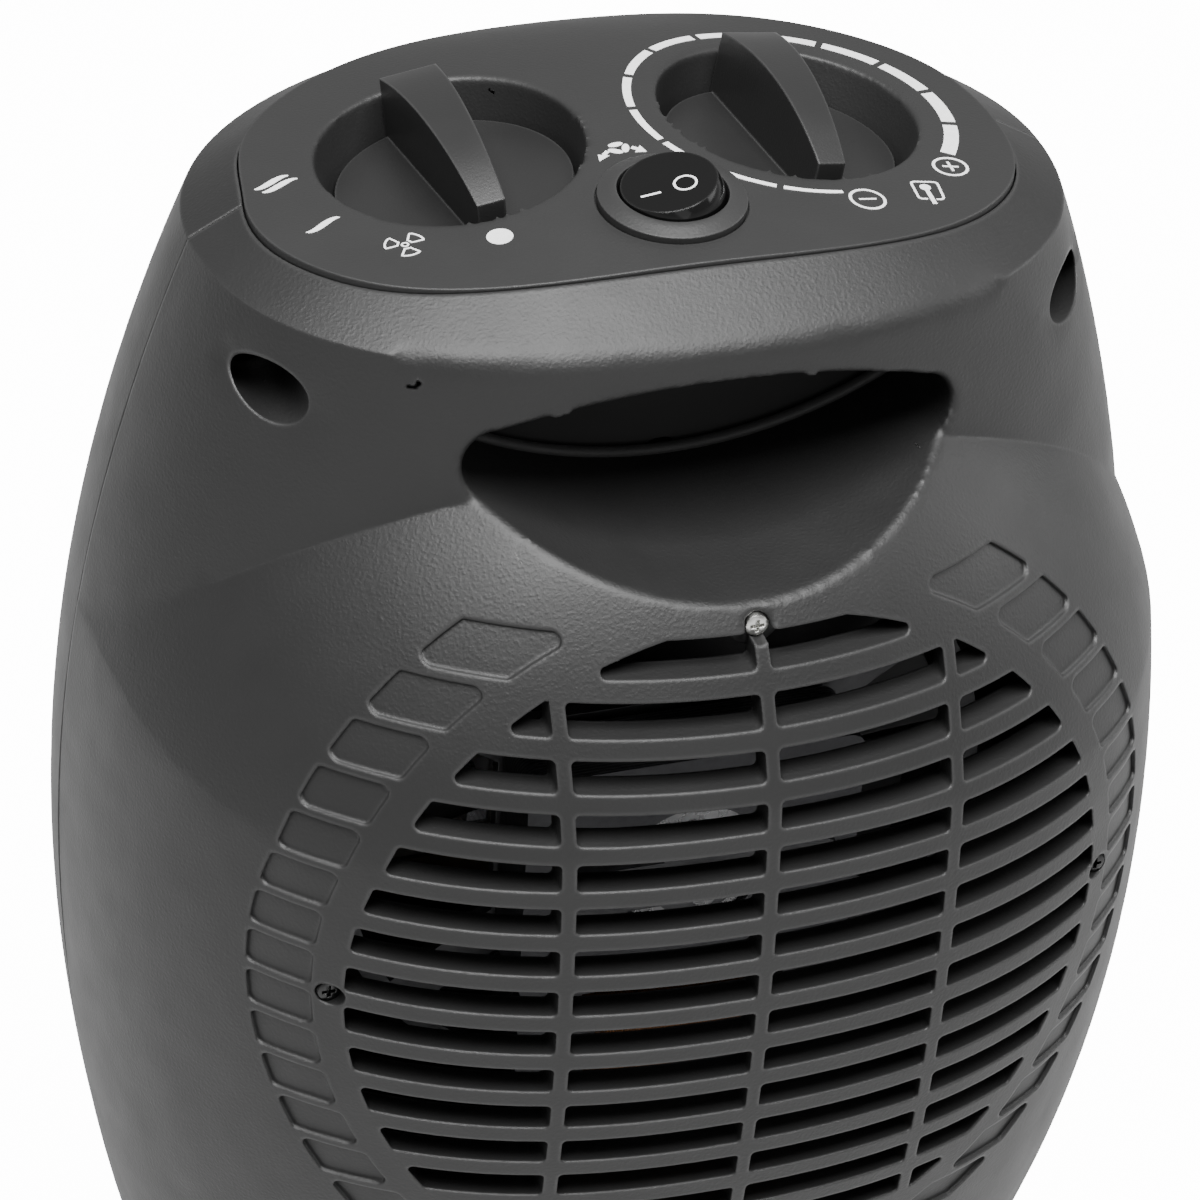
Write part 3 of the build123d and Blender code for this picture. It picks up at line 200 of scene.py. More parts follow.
drift = put(grain_tree, "ShaderNodeTexNoise", {
    "Vector": where, "Scale": slow_scale, "Detail": 4.0, "Roughness": 0.55})
handled = put(grain_tree, "ShaderNodeTexNoise", {
    "Vector": where, "Scale": maths(grain_tree, "MULTIPLY", slow_scale, 3.0), "Detail": 2.0})
grain_tree.links.new(grain, leave.inputs["Height"])
grain_tree.links.new(drift.outputs[0], leave.inputs["Tone"])
grain_tree.links.new(handled.outputs[0], leave.inputs["Gloss"])

# Edge of a moulding: the normal turns over a small radius, and a mask follows it that marks the
# edges to be painted paler, partly as wear and partly as a painted highlight.
edge_tree, entry, leave = node_group(
    "rounded_edge", {"Radius": 0.0004, "Reach": 0.0004}, {"Normal": "Vector", "Wear_and_highlight": "Float"})
turned = put(edge_tree, "ShaderNodeBevel", {"Radius": entry.outputs["Radius"]}, samples=6)
spread = put(edge_tree, "ShaderNodeBevel", {"Radius": entry.outputs["Reach"]}, samples=6)
faced = put(edge_tree, "ShaderNodeNewGeometry").outputs["Normal"]
agree = put(edge_tree, "ShaderNodeVectorMath", {0: spread.outputs[0], 1: faced},
            operation="DOT_PRODUCT").outputs["Value"]
where = put(edge_tree, "ShaderNodeTexCoord").outputs["Object"]
rubbed = put(edge_tree, "ShaderNodeTexNoise", {"Vector": where, "Scale": 260.0, "Detail": 4.0})
lost = maths(edge_tree, "SUBTRACT", 1.0, agree)
patchy = maths(edge_tree, "MULTIPLY_ADD", rubbed.outputs[0], 6.0, 1.0)
edge_tree.links.new(maths(edge_tree, "MULTIPLY", lost, patchy, use_clamp=True),
                    leave.inputs["Wear_and_highlight"])
edge_tree.links.new(turned.outputs[0], leave.inputs["Normal"])


def place_group(tree, name, **values):
    """One use of a node group, with its own values."""
    made = put(tree, "ShaderNodeGroup", node_tree=bpy.data.node_groups[name])
    for key, value in values.items():
        made.inputs[key].default_value = value
    return made.outputs


def blend_colour(tree, share, first, second):
    """The colour output of a Mix node: first where the share is 0, second where it is 1."""
    made = put(tree, "ShaderNodeMix", data_type="RGBA")
    share_input, first_input, second_input, colour_output = 0, 6, 7, 2
    for index, value in ((share_input, share), (first_input, first), (second_input, second)):
        if isinstance(value, bpy.types.NodeSocket):
            tree.links.new(value, made.inputs[index])
        else:
            made.inputs[index].default_value = value if index == share_input else (*value, 1.0)
    return made.outputs[colour_output]


def moulded(name, colour, roughness, cell=0.0004, depth=0.00002, edge=0.0004, worn=0.5,
            gloss_drift=0.12, ior=1.46):
    """A moulded plastic: its tone drifts by about 15 % either way and darkens in the pores, grain
    raises it, and edges are smoother and painted paler, partly as wear and partly as a painted
    highlight, as strongly as worn says."""
    made, output = blank_material(name)
    tree = made.node_tree
    skin = place_group(tree, "moulded_grain", Cell=cell, Drift=0.03)
    rim = place_group(tree, "rounded_edge", Radius=edge, Reach=1.5 * edge)
    dim = [0.86 * part for part in colour]
    lit = [1.16 * part for part in colour]
    tone = blend_colour(tree, skin["Tone"], dim, lit)
    pores = maths(tree, "MULTIPLY_ADD", skin["Height"], -0.5, 0.4, use_clamp=True)
    grained = blend_colour(tree, pores, colour, [0.7 * part for part in colour])
    both = blend_colour(tree, 0.5, tone, grained)
    # Edges painted paler: partly wear, partly a painted highlight.
    pale = [min(1.0, 1.9 * part + 0.02) for part in colour]
    edge_wear_and_highlight = maths(tree, "MULTIPLY", rim["Wear_and_highlight"], worn)
    coloured = blend_colour(tree, edge_wear_and_highlight, both, pale)
    shine = maths(tree, "MULTIPLY_ADD", skin["Gloss"], gloss_drift, roughness - gloss_drift / 2)
    rubbed = maths(tree, "MULTIPLY_ADD", edge_wear_and_highlight, -0.25 * roughness, shine, use_clamp=True)
    relief = put(tree, "ShaderNodeBump", {
        "Height": skin["Height"], "Normal": rim["Normal"], "Distance": depth, "Strength": 1.0})
    shader = put(tree, "ShaderNodeBsdfPrincipled", {
        "Base Color": coloured, "Roughness": rubbed, "IOR": ior, "Normal": relief.outputs[0]})
    tree.links.new(shader.outputs[0], output.inputs["Surface"])
    return made


charcoal = moulded("charcoal_shell", (0.0125, 0.0125, 0.0125), 0.47, cell=0.0006, depth=0.00009,
                   edge=0.0008, worn=1.0)


def merged_copy(cad_name):
    """A copy of a CAD node's mesh with its loose triangles joined at their corners."""
    mesh = frame["nodes"][cad_name].data.copy()
    mesh.name = cad_name + "_skin"
    mesh.materials.clear()
    if "custom_normal" in mesh.attributes:
        mesh.attributes.remove(mesh.attributes["custom_normal"])
    shape = bmesh.new()
    shape.from_mesh(mesh)
    bmesh.ops.remove_doubles(shape, verts=shape.verts, dist=2e-6)
    shape.to_mesh(mesh)
    shape.free()
    return mesh


def finished(mesh, cad_name, finish, corner=32.0, name=None):
    """Shows a mesh in place of a CAD node: it rides on the node's body. It is
    shaded smooth, apart from the edges sharper than corner, in degrees."""
    mesh.shade_smooth()
    mesh.set_sharp_from_angle(angle=math.radians(corner))
    mesh.materials.append(finish)
    piece = bpy.data.objects.new(name or cad_name + "_skin", mesh)
    bpy.context.collection.objects.link(piece)
    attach(piece, frame["nodes"][cad_name]["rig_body"])
    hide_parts(cad_name)
    return piece


def dressed(finish, *cad_names):
    """Shows each of the CAD nodes as its own merged copy in one finish."""
    for cad_name in cad_names:
        finished(merged_copy(cad_name), cad_name, finish)


def corner_points(mesh):
    """The corners of a mesh as rows of X, Y and Z."""
    points = np.empty(3 * len(mesh.vertices))
    mesh.vertices.foreach_get("co", points)
    return points.reshape(-1, 3)


def nearest(points, core, margin=0.02, batch=2000):
    """Distance from each point to the closest of the core points, or 1 m where the point lies
    outside their box and its margin."""
    low = core.min(axis=0) - margin
    high = core.max(axis=0) + margin
    inside = np.flatnonzero(np.all((points > low) & (points < high), axis=1))
    gap = np.full(len(points), 1.0)
    for part in np.array_split(inside, max(1, len(inside) // batch)):
        away = np.linalg.norm(points[part][:, None, :] - core[None, :, :], axis=2)
        gap[part] = away.min(axis=1)
    return gap


def turned_areas(points, corners):
    """For each triangle the cross product of two sides: twice its area, along its normal."""
    first, second, third = points[corners[:, 0]], points[corners[:, 1]], points[corners[:, 2]]
    return np.cross(second - first, third - first)


def softened(mesh, core, band, step, rounds, sweeps=8, pull=0.6, tries=8):
    """Rounds the edges near core. Edges within band of its points are halved until they are no
    longer than step, or the sweeps run out. Then each corner moves again and again by a pull
    towards its neighbours' mean, times the root of how far inside the band it lies. Corners on
    a long edge stay. Where a triangle turns over, the pull is eased and the rounds start again,
    up to tries times."""
    shape = bmesh.new()
    shape.from_mesh(mesh)
    for sweep in range(sweeps):
        shape.verts.ensure_lookup_table()
        shape.edges.ensure_lookup_table()
        shape.to_mesh(mesh)
        start = corner_points(mesh)
        ends = np.empty(2 * len(mesh.edges), int)
        mesh.edges.foreach_get("vertices", ends)
        ends = ends.reshape(-1, 2)
        gap = nearest(start, core)
        length = np.linalg.norm(start[ends[:, 0]] - start[ends[:, 1]], axis=1)
        near = np.minimum(gap[ends[:, 0]], gap[ends[:, 1]]) < band
        picked = np.flatnonzero(near & (length > step))
        if sweep == sweeps - 1 or len(picked) == 0:
            break
        bmesh.ops.subdivide_edges(shape, edges=[shape.edges[i] for i in picked], cuts=1)
        wide = [face for face in shape.faces if len(face.verts) > 3]
        bmesh.ops.triangulate(shape, faces=wide)
    shape.free()

    longest = np.zeros(len(start))
    np.maximum.at(longest, ends[:, 0], length)
    np.maximum.at(longest, ends[:, 1], length)
    even = longest < 2.5 * step
    weight = (even * np.clip(1.0 - gap / band, 0.0, 1.0) ** 0.5)[:, None]
    count = np.bincount(ends.ravel(), minlength=len(start))[:, None]
    corners = np.empty(3 * len(mesh.polygons), int)
    mesh.polygons.foreach_get("vertices", corners)
    corners = corners.reshape(-1, 3)
    before = turned_areas(start, corners)
    flat, opened = 1e-11, 1e-10
    for attempt in range(tries):
        points = start.copy()
        for turn in range(rounds):
            total = np.zeros_like(points)
            for axis in range(3):
                total[:, axis] = np.bincount(ends[:, 0], points[ends[:, 1], axis], len(points))
                total[:, axis] += np.bincount(ends[:, 1], points[ends[:, 0], axis], len(points))
            points = points + pull * weight * (total / np.maximum(count, 1) - points)
        after = turned_areas(points, corners)
        sliver = np.linalg.norm(before, axis=1) < flat
        grown = np.linalg.norm(after, axis=1) > opened
        folded = (np.einsum("ij,ij->i", before, after) < 0.0) | (sliver & grown)
        if not folded.any():
            break
        weight[np.unique(corners[folded])] *= 0.6
    mesh.vertices.foreach_set("co", points.ravel())
    mesh.update()


def sharp_points(mesh, angle, test, spacing=0.0005):
    """Points, about spacing apart, along the edges sharper than an angle in degrees whose middle
    and two face normals pass the test."""
    shape = bmesh.new()
    shape.from_mesh(mesh)
    found = []
    for edge in shape.edges:
        if len(edge.link_faces) == 2 and edge.calc_face_angle(0.0) > math.radians(angle):
            start, end = edge.verts[0].co, edge.verts[1].co
            if test((start + end) / 2, [face.normal for face in edge.link_faces]):
                stops = max(2, int((end - start).length / spacing))
                found += [tuple(start.lerp(end, share)) for share in np.linspace(0, 1, stops)]
    shape.free()
    return np.array(found)


rear_mesh = merged_copy("rear_shell")

# The grip opens between two arcs in XZ: its lower lip and a flatter one above
grip_low, grip_high = 0.2141, 0.2427
lip_radius, brow_radius = 0.075, 0.1
grip_half_width, grip_corner_start = 0.056, 0.040
grip_front = 0.030
grip_floor, grip_roof = 0.208, 0.246
lip_slack, corner_slack = 0.0015, 0.006
inward_face, rearward_face = 0.35, 0.3


def on_grip_lip(spot, normals):
    """True on the outer rim of the scoop: near the further out of its two arcs, with more slack
    in the corners, where one side of the edge faces up or down and the other rearwards."""
    if abs(spot.x) > grip_half_width or spot.y < grip_front:
        return False
    lower = math.hypot(spot.x, spot.z - grip_low - lip_radius) - lip_radius
    upper = math.hypot(spot.x, spot.z - grip_high + brow_radius) - brow_radius
    slack = lip_slack if abs(spot.x) < grip_corner_start else corner_slack
    walls = [abs(normal.y) for normal in normals]
    on_arcs = grip_floor < spot.z < grip_roof and abs(max(lower, upper)) < slack
    return on_arcs and min(walls) < inward_face and max(walls) > rearward_face


crease_level, crease_half_width, crease_slack = 0.248, 0.046, 0.003


def on_crease(spot, normals):
    """True on the line between the collar and the slope up to the panel."""
    level = abs(spot.z - crease_level) < crease_slack and abs(spot.x) < crease_half_width
    return level and spot.y > 0.0 and min(normal.y for normal in normals) > 0.05


crease = sharp_points(rear_mesh, 10, on_crease)
softened(rear_mesh, crease, band=0.0045, step=0.0015, rounds=14)
lip = sharp_points(rear_mesh, 35, on_grip_lip)
softened(rear_mesh, lip, band=0.0030, step=0.0008, rounds=9)

# The wells of the two long screws are drawn in to less than the CAD radius. Their mouths lie on
# the plane that fits them, and slide along it
well_x, well_z = 0.0662, 0.237
well_radius, drawn_radius = 0.006, 0.0047
seat_y, mouth_y = 0.0015, 0.01
drawn_in = 1.0 - drawn_radius / well_radius
spots = corner_points(rear_mesh)
for side in (1, -1):
    aside, above = spots[:, 0] - side * well_x, spots[:, 2] - well_z
    wall = (np.abs(np.hypot(aside, above) - well_radius) < 0.0001) & (spots[:, 1] > seat_y)
    mouth = wall & (spots[:, 1] > mouth_y)
    if mouth.sum() < 8:
        raise ValueError("the mouth of a screw well was not found")
    terms = np.column_stack((np.ones(mouth.sum()), aside[mouth], above[mouth]))
    fit = np.linalg.lstsq(terms, spots[mouth, 1], rcond=None)[0]
    spots[mouth, 1] -= drawn_in * (terms[:, 1:] @ fit[1:])
    spots[wall, 0] -= drawn_in * aside[wall]
    spots[wall, 2] -= drawn_in * above[wall]
rear_mesh.vertices.foreach_set("co", spots.ravel())
rear_mesh.update()
finished(rear_mesh, "rear_shell", charcoal)

# Backplate of the grip: a smooth black plate that closes the inner end of the
# scoop, pushed into it from inside the shell.
liner = moulded("smooth_black_liner", (0.06, 0.06, 0.06), 0.42, cell=0.0008, depth=0.000006,
                edge=0.0004, worn=0.3)
dressed(liner, "grip_backplate")

# Rolled bead, its colour painted pale as a highlight, on the arc where the scoop's floor meets
# the plate: the plate leans rearwards above lean_start. Millimetres
bead_highlight_finish = moulded("bead_painted_highlight", (0.075, 0.075, 0.075), 0.5, cell=0.0005, depth=0.00009,
                      edge=0.0004, worn=0.2)
bead_half_width, bead_radius, bead_rise = 47.0, 1.05, 0.3
floor_radius, floor_centre_z = 75.0, 289.1
plate_y, plate_lean, lean_start = 18.6, 0.52, 228.0
across = np.linspace(-bead_half_width, bead_half_width, 121)
floor_z = floor_centre_z - np.sqrt(floor_radius ** 2 - across ** 2)
bead_path = np.column_stack((
    across, plate_y + plate_lean * np.maximum(floor_z - lean_start, 0.0), floor_z + bead_rise))


def tube(path, radius, sides=16, fade=3.0):
    """A closed tube: circles square to the path, whose radius grows from nothing at each end as
    the root of the number of stations, up to fade of them."""
    count = len(path)
    along = np.gradient(path, axis=0)
    along /= np.linalg.norm(along, axis=1)[:, None]
    side = np.cross(along, (0.0, 1.0, 0.0))
    side /= np.linalg.norm(side, axis=1)[:, None]
    other = np.cross(along, side)
    turn = np.linspace(0.0, 2.0 * np.pi, sides, endpoint=False)
    from_end = np.minimum(np.arange(count), np.arange(count)[::-1])
    swell = radius * np.sqrt(np.clip(from_end / fade, 0.0, 1.0))
    rings = (path[:, None] + swell[:, None, None] * (
        np.cos(turn)[None, :, None] * side[:, None] + np.sin(turn)[None, :, None] * other[:, None]))
    index = np.arange(count * sides).reshape(count, sides)
    following = np.roll(index, -1, axis=1)
    quads = np.stack((index[:-1], following[:-1], following[1:], index[1:]), axis=-1)
    return rings.reshape(-1, 3), quads.reshape(-1, 4)


def closed_mesh(name, points, faces):
    """A mesh from millimetre points and faces, its doubles merged and its normals outwards."""
    mesh = bpy.data.meshes.new(name)
    mesh.from_pydata((np.asarray(points) / 1000.0).tolist(), [], np.asarray(faces).tolist())
    shape = bmesh.new()
    shape.from_mesh(mesh)
    bmesh.ops.remove_doubles(shape, verts=shape.verts, dist=1e-6)
    bmesh.ops.dissolve_degenerate(shape, edges=shape.edges, dist=1e-7)
    bmesh.ops.recalc_face_normals(shape, faces=shape.faces)
    shape.to_mesh(mesh)
    shape.free()
    return mesh


bead_mesh = closed_mesh("grip_bead", *tube(bead_path, bead_radius))
bead_mesh.shade_smooth()
bead_mesh.set_sharp_from_angle(angle=math.radians(40))
bead_mesh.materials.append(bead_highlight_finish)
grip_bead = bpy.data.objects.new("grip_bead", bead_mesh)
bpy.context.collection.objects.link(grip_bead)
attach(grip_bead, "head")

# Front shell: the other half of the housing, in the same charcoal mould grain.
# Its tongue closes the seam from inside.
dressed(charcoal, "front_shell")

# Outlet grille: level bars of heat-proof polyester, a shade browner and duller
# than the shell, pressed into its round opening.
outlet_finish = moulded("outlet_polyester", (0.022, 0.0215, 0.021), 0.58, cell=0.0005,
                        depth=0.00004, edge=0.0006, worn=0.5)
dressed(outlet_finish, "front_grille")

# Control panel: one crowned moulding with two leaning recesses for the knobs,
# let into the top of both shells. Its eroded top is a little finer than theirs.
panel_finish = moulded("panel_charcoal", (0.018, 0.018, 0.018), 0.47, cell=0.0005,
                       depth=0.00006, edge=0.0005, worn=0.7)
panel_mesh = merged_copy("control_panel")
recess_x, recess_y, recess_radius, rim_slack = 0.0286, -0.0111, 0.0218, 0.0015
panel_edge_z, upward_face = 0.251, 0.8


def on_recess_rim(spot, normals):
    """True on the upper rim of a knob recess, close to a circle seen from above."""
    wide = math.hypot(abs(spot.x) - recess_x, spot.y - recess_y)
    rim = abs(wide - recess_radius) < rim_slack and spot.z > panel_edge_z
    return rim and max(normal.z for normal in normals) > upward_face


rims = sharp_points(panel_mesh, 35, on_recess_rim)
softened(panel_mesh, rims, band=0.0022, step=0.0007, rounds=8)
finished(panel_mesh, "control_panel", panel_finish)

# Print on the panel: pictograms and dial marks pad-printed in white ink, one
# thin skin on the crowned top, a little uneven at its edges.
ink, ink_output = blank_material("white_print")
ink_tree = ink.node_tree
where = put(ink_tree, "ShaderNodeTexCoord").outputs["Object"]
cover = put(ink_tree, "ShaderNodeTexNoise", {"Vector": where, "Scale": 900.0, "Detail": 5.0})
thin = maths(ink_tree, "MULTIPLY_ADD", cover.outputs[0], 1.6, -0.35, use_clamp=True)
printed = blend_colour(ink_tree, thin, (0.84, 0.84, 0.84), (0.96, 0.96, 0.96))
film = put(ink_tree, "ShaderNodeBump", {
    "Height": cover.outputs[0], "Distance": 0.00001, "Strength": 1.0})
ink_shader = put(ink_tree, "ShaderNodeBsdfPrincipled", {
    "Base Color": printed, "Roughness": maths(ink_tree, "MULTIPLY_ADD", thin, 0.15, 0.4),
    "Normal": film.outputs[0]})
ink_tree.links.new(ink_shader.outputs[0], ink_output.inputs["Surface"])


def strip(left, right, closed=False):
    """One printed strip: stations along it, each with a left and a right point in the plane."""
    return np.asarray(left, float), np.asarray(right, float), closed


def stroke(path, width, closed=False):
    """A strip of one width along a path: each side is the path moved along its normal."""
    path = np.asarray(path, float)
    if closed:
        along = np.roll(path, -1, axis=0) - np.roll(path, 1, axis=0)
    else:
        along = np.gradient(path, axis=0)
    along /= np.linalg.norm(along, axis=1)[:, None]
    aside = np.column_stack((-along[:, 1], along[:, 0])) * np.reshape(width, (-1, 1)) / 2
    return strip(path + aside, path - aside, closed)


def arc(centre, radius, start, stop, count):
    """Points on a circle from one angle in degrees to another."""
    turn = np.radians(np.linspace(start, stop, count))
    return np.column_stack((centre[0] + radius * np.cos(turn), centre[1] + radius * np.sin(turn)))


def ring(centre, radius, width):
    """A closed circular line: radius to the middle of its width."""
    return stroke(arc(centre, radius, 0, 355, 72), width, closed=True)


def blob(centre, along, across):
    """A filled ellipse: along is its long half axis as a vector, across its short half."""
    along = np.asarray(along, float)
    aside = np.array((-along[1], along[0])) / np.linalg.norm(along) * across
    turn = np.radians(np.linspace(176, 4, 40))[:, None]
    middle = np.asarray(centre) + np.cos(turn) * along
    return strip(middle + np.sin(turn) * aside, middle - np.sin(turn) * aside)


def bar(start, end, width):
    """A straight line of one width, in six stations."""
    return stroke(np.linspace(start, end, 6), width)


def head(tip, left, right):
    """A filled triangle: it widens evenly from just behind its tip to its base."""
    share = np.linspace(0.04, 1.0, 8)[:, None]
    tip = np.asarray(tip, float)
    return strip(tip + share * (np.asarray(left) - tip), tip + share * (np.asarray(right) - tip))


def bent(corners, round_by, count=160):
    """A polyline stepped evenly, then averaged over a window of round_by, which rounds it."""
    corners = np.asarray(corners, float)
    runs = np.linalg.norm(np.diff(corners, axis=0), axis=1)
    reached = np.concatenate(([0.0], np.cumsum(runs)))
    along = np.linspace(0.0, reached[-1], count)
    path = np.column_stack([np.interp(along, reached, corners[:, i]) for i in (0, 1)])
    half = max(1, int(round_by / reached[-1] * count / 2))
    padded = np.pad(path, ((half, half), (0, 0)), mode="reflect", reflect_type="odd")
    window = np.ones(2 * half + 1) / (2 * half + 1)
    return np.column_stack([np.convolve(padded[:, i], window, mode="valid") for i in (0, 1)])


def print_marks(name, strips, lay, body, film_height=0.06, sunk=0.05):
    """All strips of one print as one mesh: each is a flat bar of four sides that follows its
    stations, its top film_height over the surface that lay gives and its foot sunk under it."""
    points, faces, total = [], [], 0
    for left, right, closed in strips:
        count = len(left)
        rings = np.stack((
            lay(left, film_height), lay(right, film_height), lay(right, -sunk), lay(left, -sunk),
        ), axis=1)
        points.append(rings.reshape(-1, 3))
        here = np.arange(count if closed else count - 1)[:, None]
        there = (here + 1) % count
        side = np.arange(4)[None, :]
        following = (side + 1) % 4
        quads = np.stack((4 * here + side, 4 * here + following,
                          4 * there + following, 4 * there + side), axis=-1).reshape(-1, 4)
        if not closed:
            last = 4 * (count - 1)
            ends = np.array([[0, 3, 2, 1], [last, last + 1, last + 2, last + 3]])
            quads = np.vstack((quads, ends))
        faces.append(quads + total)
        total += 4 * count
    mesh = bpy.data.meshes.new(name)
    mesh.from_pydata((np.vstack(points) / 1000.0).tolist(), [], np.vstack(faces).tolist())
    mesh.materials.append(ink)
    piece = bpy.data.objects.new(name, mesh)
    bpy.context.collection.objects.link(piece)
    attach(piece, body)
    return piece


panel_z, crest_y, crest_rise = 253.2, -22.0, 6.4
rear_run, front_run, side_run = 79.5, 34.0, 40.0


def on_panel(spots, lift):
    """Points of the panel's top, millimetres: from a crest across it, the height falls by the
    square of the way to the rear, by the cube to the front, and fades to each side."""
    x, y = spots[:, 0], spots[:, 1]
    rearward = 1.0 - np.abs((y - crest_y) / rear_run) ** 2
    forward = 1.0 - np.abs((y - crest_y) / front_run) ** 3
    crown = crest_rise * np.where(y > crest_y, rearward, forward)
    return np.column_stack((x, y, panel_z + crown * np.exp(-(x / side_run) ** 2) + lift))


def flame(first, second, third, fourth):
    """A lick of flame: a Bezier curve whose width swells and dies along it."""
    t = np.linspace(0.0, 1.0, 40)[:, None]
    path = ((1 - t) ** 3 * np.array(first) + 3 * (1 - t) ** 2 * t * np.array(second)
            + 3 * (1 - t) * t ** 2 * np.array(third) + t ** 3 * np.array(fourth))
    return stroke(path, 1.0 * np.sin(np.pi * t) ** 0.7 + 0.16)


# Dial of the heat settings: a dot for off, a fan, one flame and two flames
fan_mark = (42.84, 12.88)
marks = [blob((28.54, 15.96), (2.08, 0.0), 2.08), ring(fan_mark, 0.5, 0.3)]
for middle in (-146.0, -26.0, 94.0):
    outside = arc(fan_mark, 3.15, middle - 28.0, middle + 28.0, 16)
    inside = arc(fan_mark, 1.15, middle + 22.0, middle - 22.0, 8)
    marks.append(stroke(np.vstack((outside, inside)), 0.34, closed=True))
marks += [
    flame((56.4, 4.45), (54.6, 5.1), (52.0, 1.17), (50.25, 1.85)),
    flame((60.87, -10.49), (59.3, -9.9), (56.4, -13.56), (54.66, -12.88)),
    flame((59.86, -9.25), (58.3, -8.65), (55.3, -12.2), (53.54, -11.56)),
]

# Swinging fan beside the rocker: three blades between two outward arrows
marks += [
    head((7.79, 1.54), (7.51, -0.35), (5.74, 0.33)),
    bar((5.65, -0.95), (6.6, 0.0), 0.75),
    blob((3.89, -2.48), (-1.24, -0.16), 0.6),
    blob((4.44, -0.63), (-1.06, 0.65), 0.6),
    blob((2.62, -1.1), (0.39, 1.19), 0.6),
    bar((1.62, -1.1), (0.83, -0.47), 0.8),
    head((-0.39, 0.67), (0.13, -1.36), (1.52, 0.42)),
]

# Dial of the thermostat: a broken ring that widens from minus round to plus, and a thermometer
dial_centre, dial_radius = np.array((-28.6, -11.1)), 25.7
first_dash, dash_turn, dash_length, dial_sweep = 0.2, 23.6, 21.1, 305.0
least_width, added_width = 0.8, 1.7
for dash in range(13):
    turn = first_dash + dash_turn * dash + np.linspace(0.0, dash_length, 18)
    turn = np.radians(turn)[:, None]
    outward = np.hstack((np.sin(turn), np.cos(turn)))
    widening = least_width + added_width * turn / np.radians(dial_sweep)
    marks.append(strip(dial_centre + (dial_radius + widening) * outward,
                       dial_centre + dial_radius * outward))
marks += [
    ring((-31.87, 17.38), 2.8, 0.5),
    bar((-30.43, 17.31), (-33.36, 17.35), 0.42),
    ring((-49.66, 8.35), 2.77, 0.5),
    bar((-48.38, 8.05), (-51.02, 8.56), 0.45),
    bar((-49.74, 6.79), (-49.64, 9.76), 0.45),
    stroke(bent([
        (-43.39, 18.17), (-44.73, 18.29), (-45.45, 12.95), (-41.07, 12.45), (-40.58, 17.77),
        (-42.02, 17.88)], 1.6), 0.42),
    blob((-42.9, 14.38), (0.92, 0.0), 0.92),
    bar((-42.9, 14.9), (-42.66, 19.53), 0.75),
]
panel_print = print_marks("panel_print", marks, on_panel, "head")

# Knobs: satin charcoal discs with a tall finger blade, pushed on flatted
# shafts. The blade's edges are painted pale, partly as wear and partly as a painted highlight.
knob_finish = moulded("satin_knob", (0.015, 0.015, 0.015), 0.4, cell=0.0004, depth=0.00003,
                      edge=0.0005, worn=1.0, gloss_drift=0.16)
dressed(knob_finish, "function_knob", "thermostat_knob")
natural = moulded("natural_acetal", (0.68, 0.67, 0.62), 0.4, cell=0.0009, depth=0.00001,
                  edge=0.0003, worn=0.2)
dressed(natural, "function_shaft", "thermostat_shaft")

# Rocker switch: a snap-in case with a flat bezel, and a glossy black button
# whose edges are painted paler, partly as wear and partly as a painted highlight, and that bears
# the marks for on and off.
bezel_finish = moulded("satin_bezel", (0.02, 0.02, 0.02), 0.5, cell=0.0005,
                       depth=0.00005, edge=0.0004, worn=0.6)
dressed(bezel_finish, "rocker_case")
button_finish = moulded("gloss_button", (0.004, 0.004, 0.004), 0.12, cell=0.0012,
                        depth=0.000004, edge=0.0004, worn=0.9, gloss_drift=0.08, ior=1.35)
dressed(button_finish, "rocker_button")
button_throw, button_lean = math.radians(12.0), math.radians(4.0)
button_middle = np.array((0.796, 14.740, 261.689))


def on_button(spots, lift):
    """Points of the button's flat face, millimetres: a plane leant to the rear with the panel
    and thrown over to one side, lifted along its normal."""
    upright = np.array((0.0, math.sin(button_lean), math.cos(button_lean)))
    aside = np.array((1.0, 0.0, 0.0))
    across = math.cos(button_throw) * aside - math.sin(button_throw) * upright
    down = np.array((0.0, math.cos(button_lean), -math.sin(button_lean)))
    normal = math.sin(button_throw) * aside + math.cos(button_throw) * upright
    return button_middle + spots[:, :1] * across + spots[:, 1:] * down + lift * normal


rocker_print = print_marks("rocker_print", [
    ring((-2.2, 1.45), 1.75, 0.4),
    bar((5.22, 1.73), (2.0, 1.98), 0.45),
], on_button, "rocker", film_height=0.04, sunk=0.03)

# Screws: pan heads with a cross recess and a rolled thread, in zinc-plated steel.
# Those of the base and three of the fan shroud's four are blackened steel, its colour painted
# darker as the shade of their deep holes.


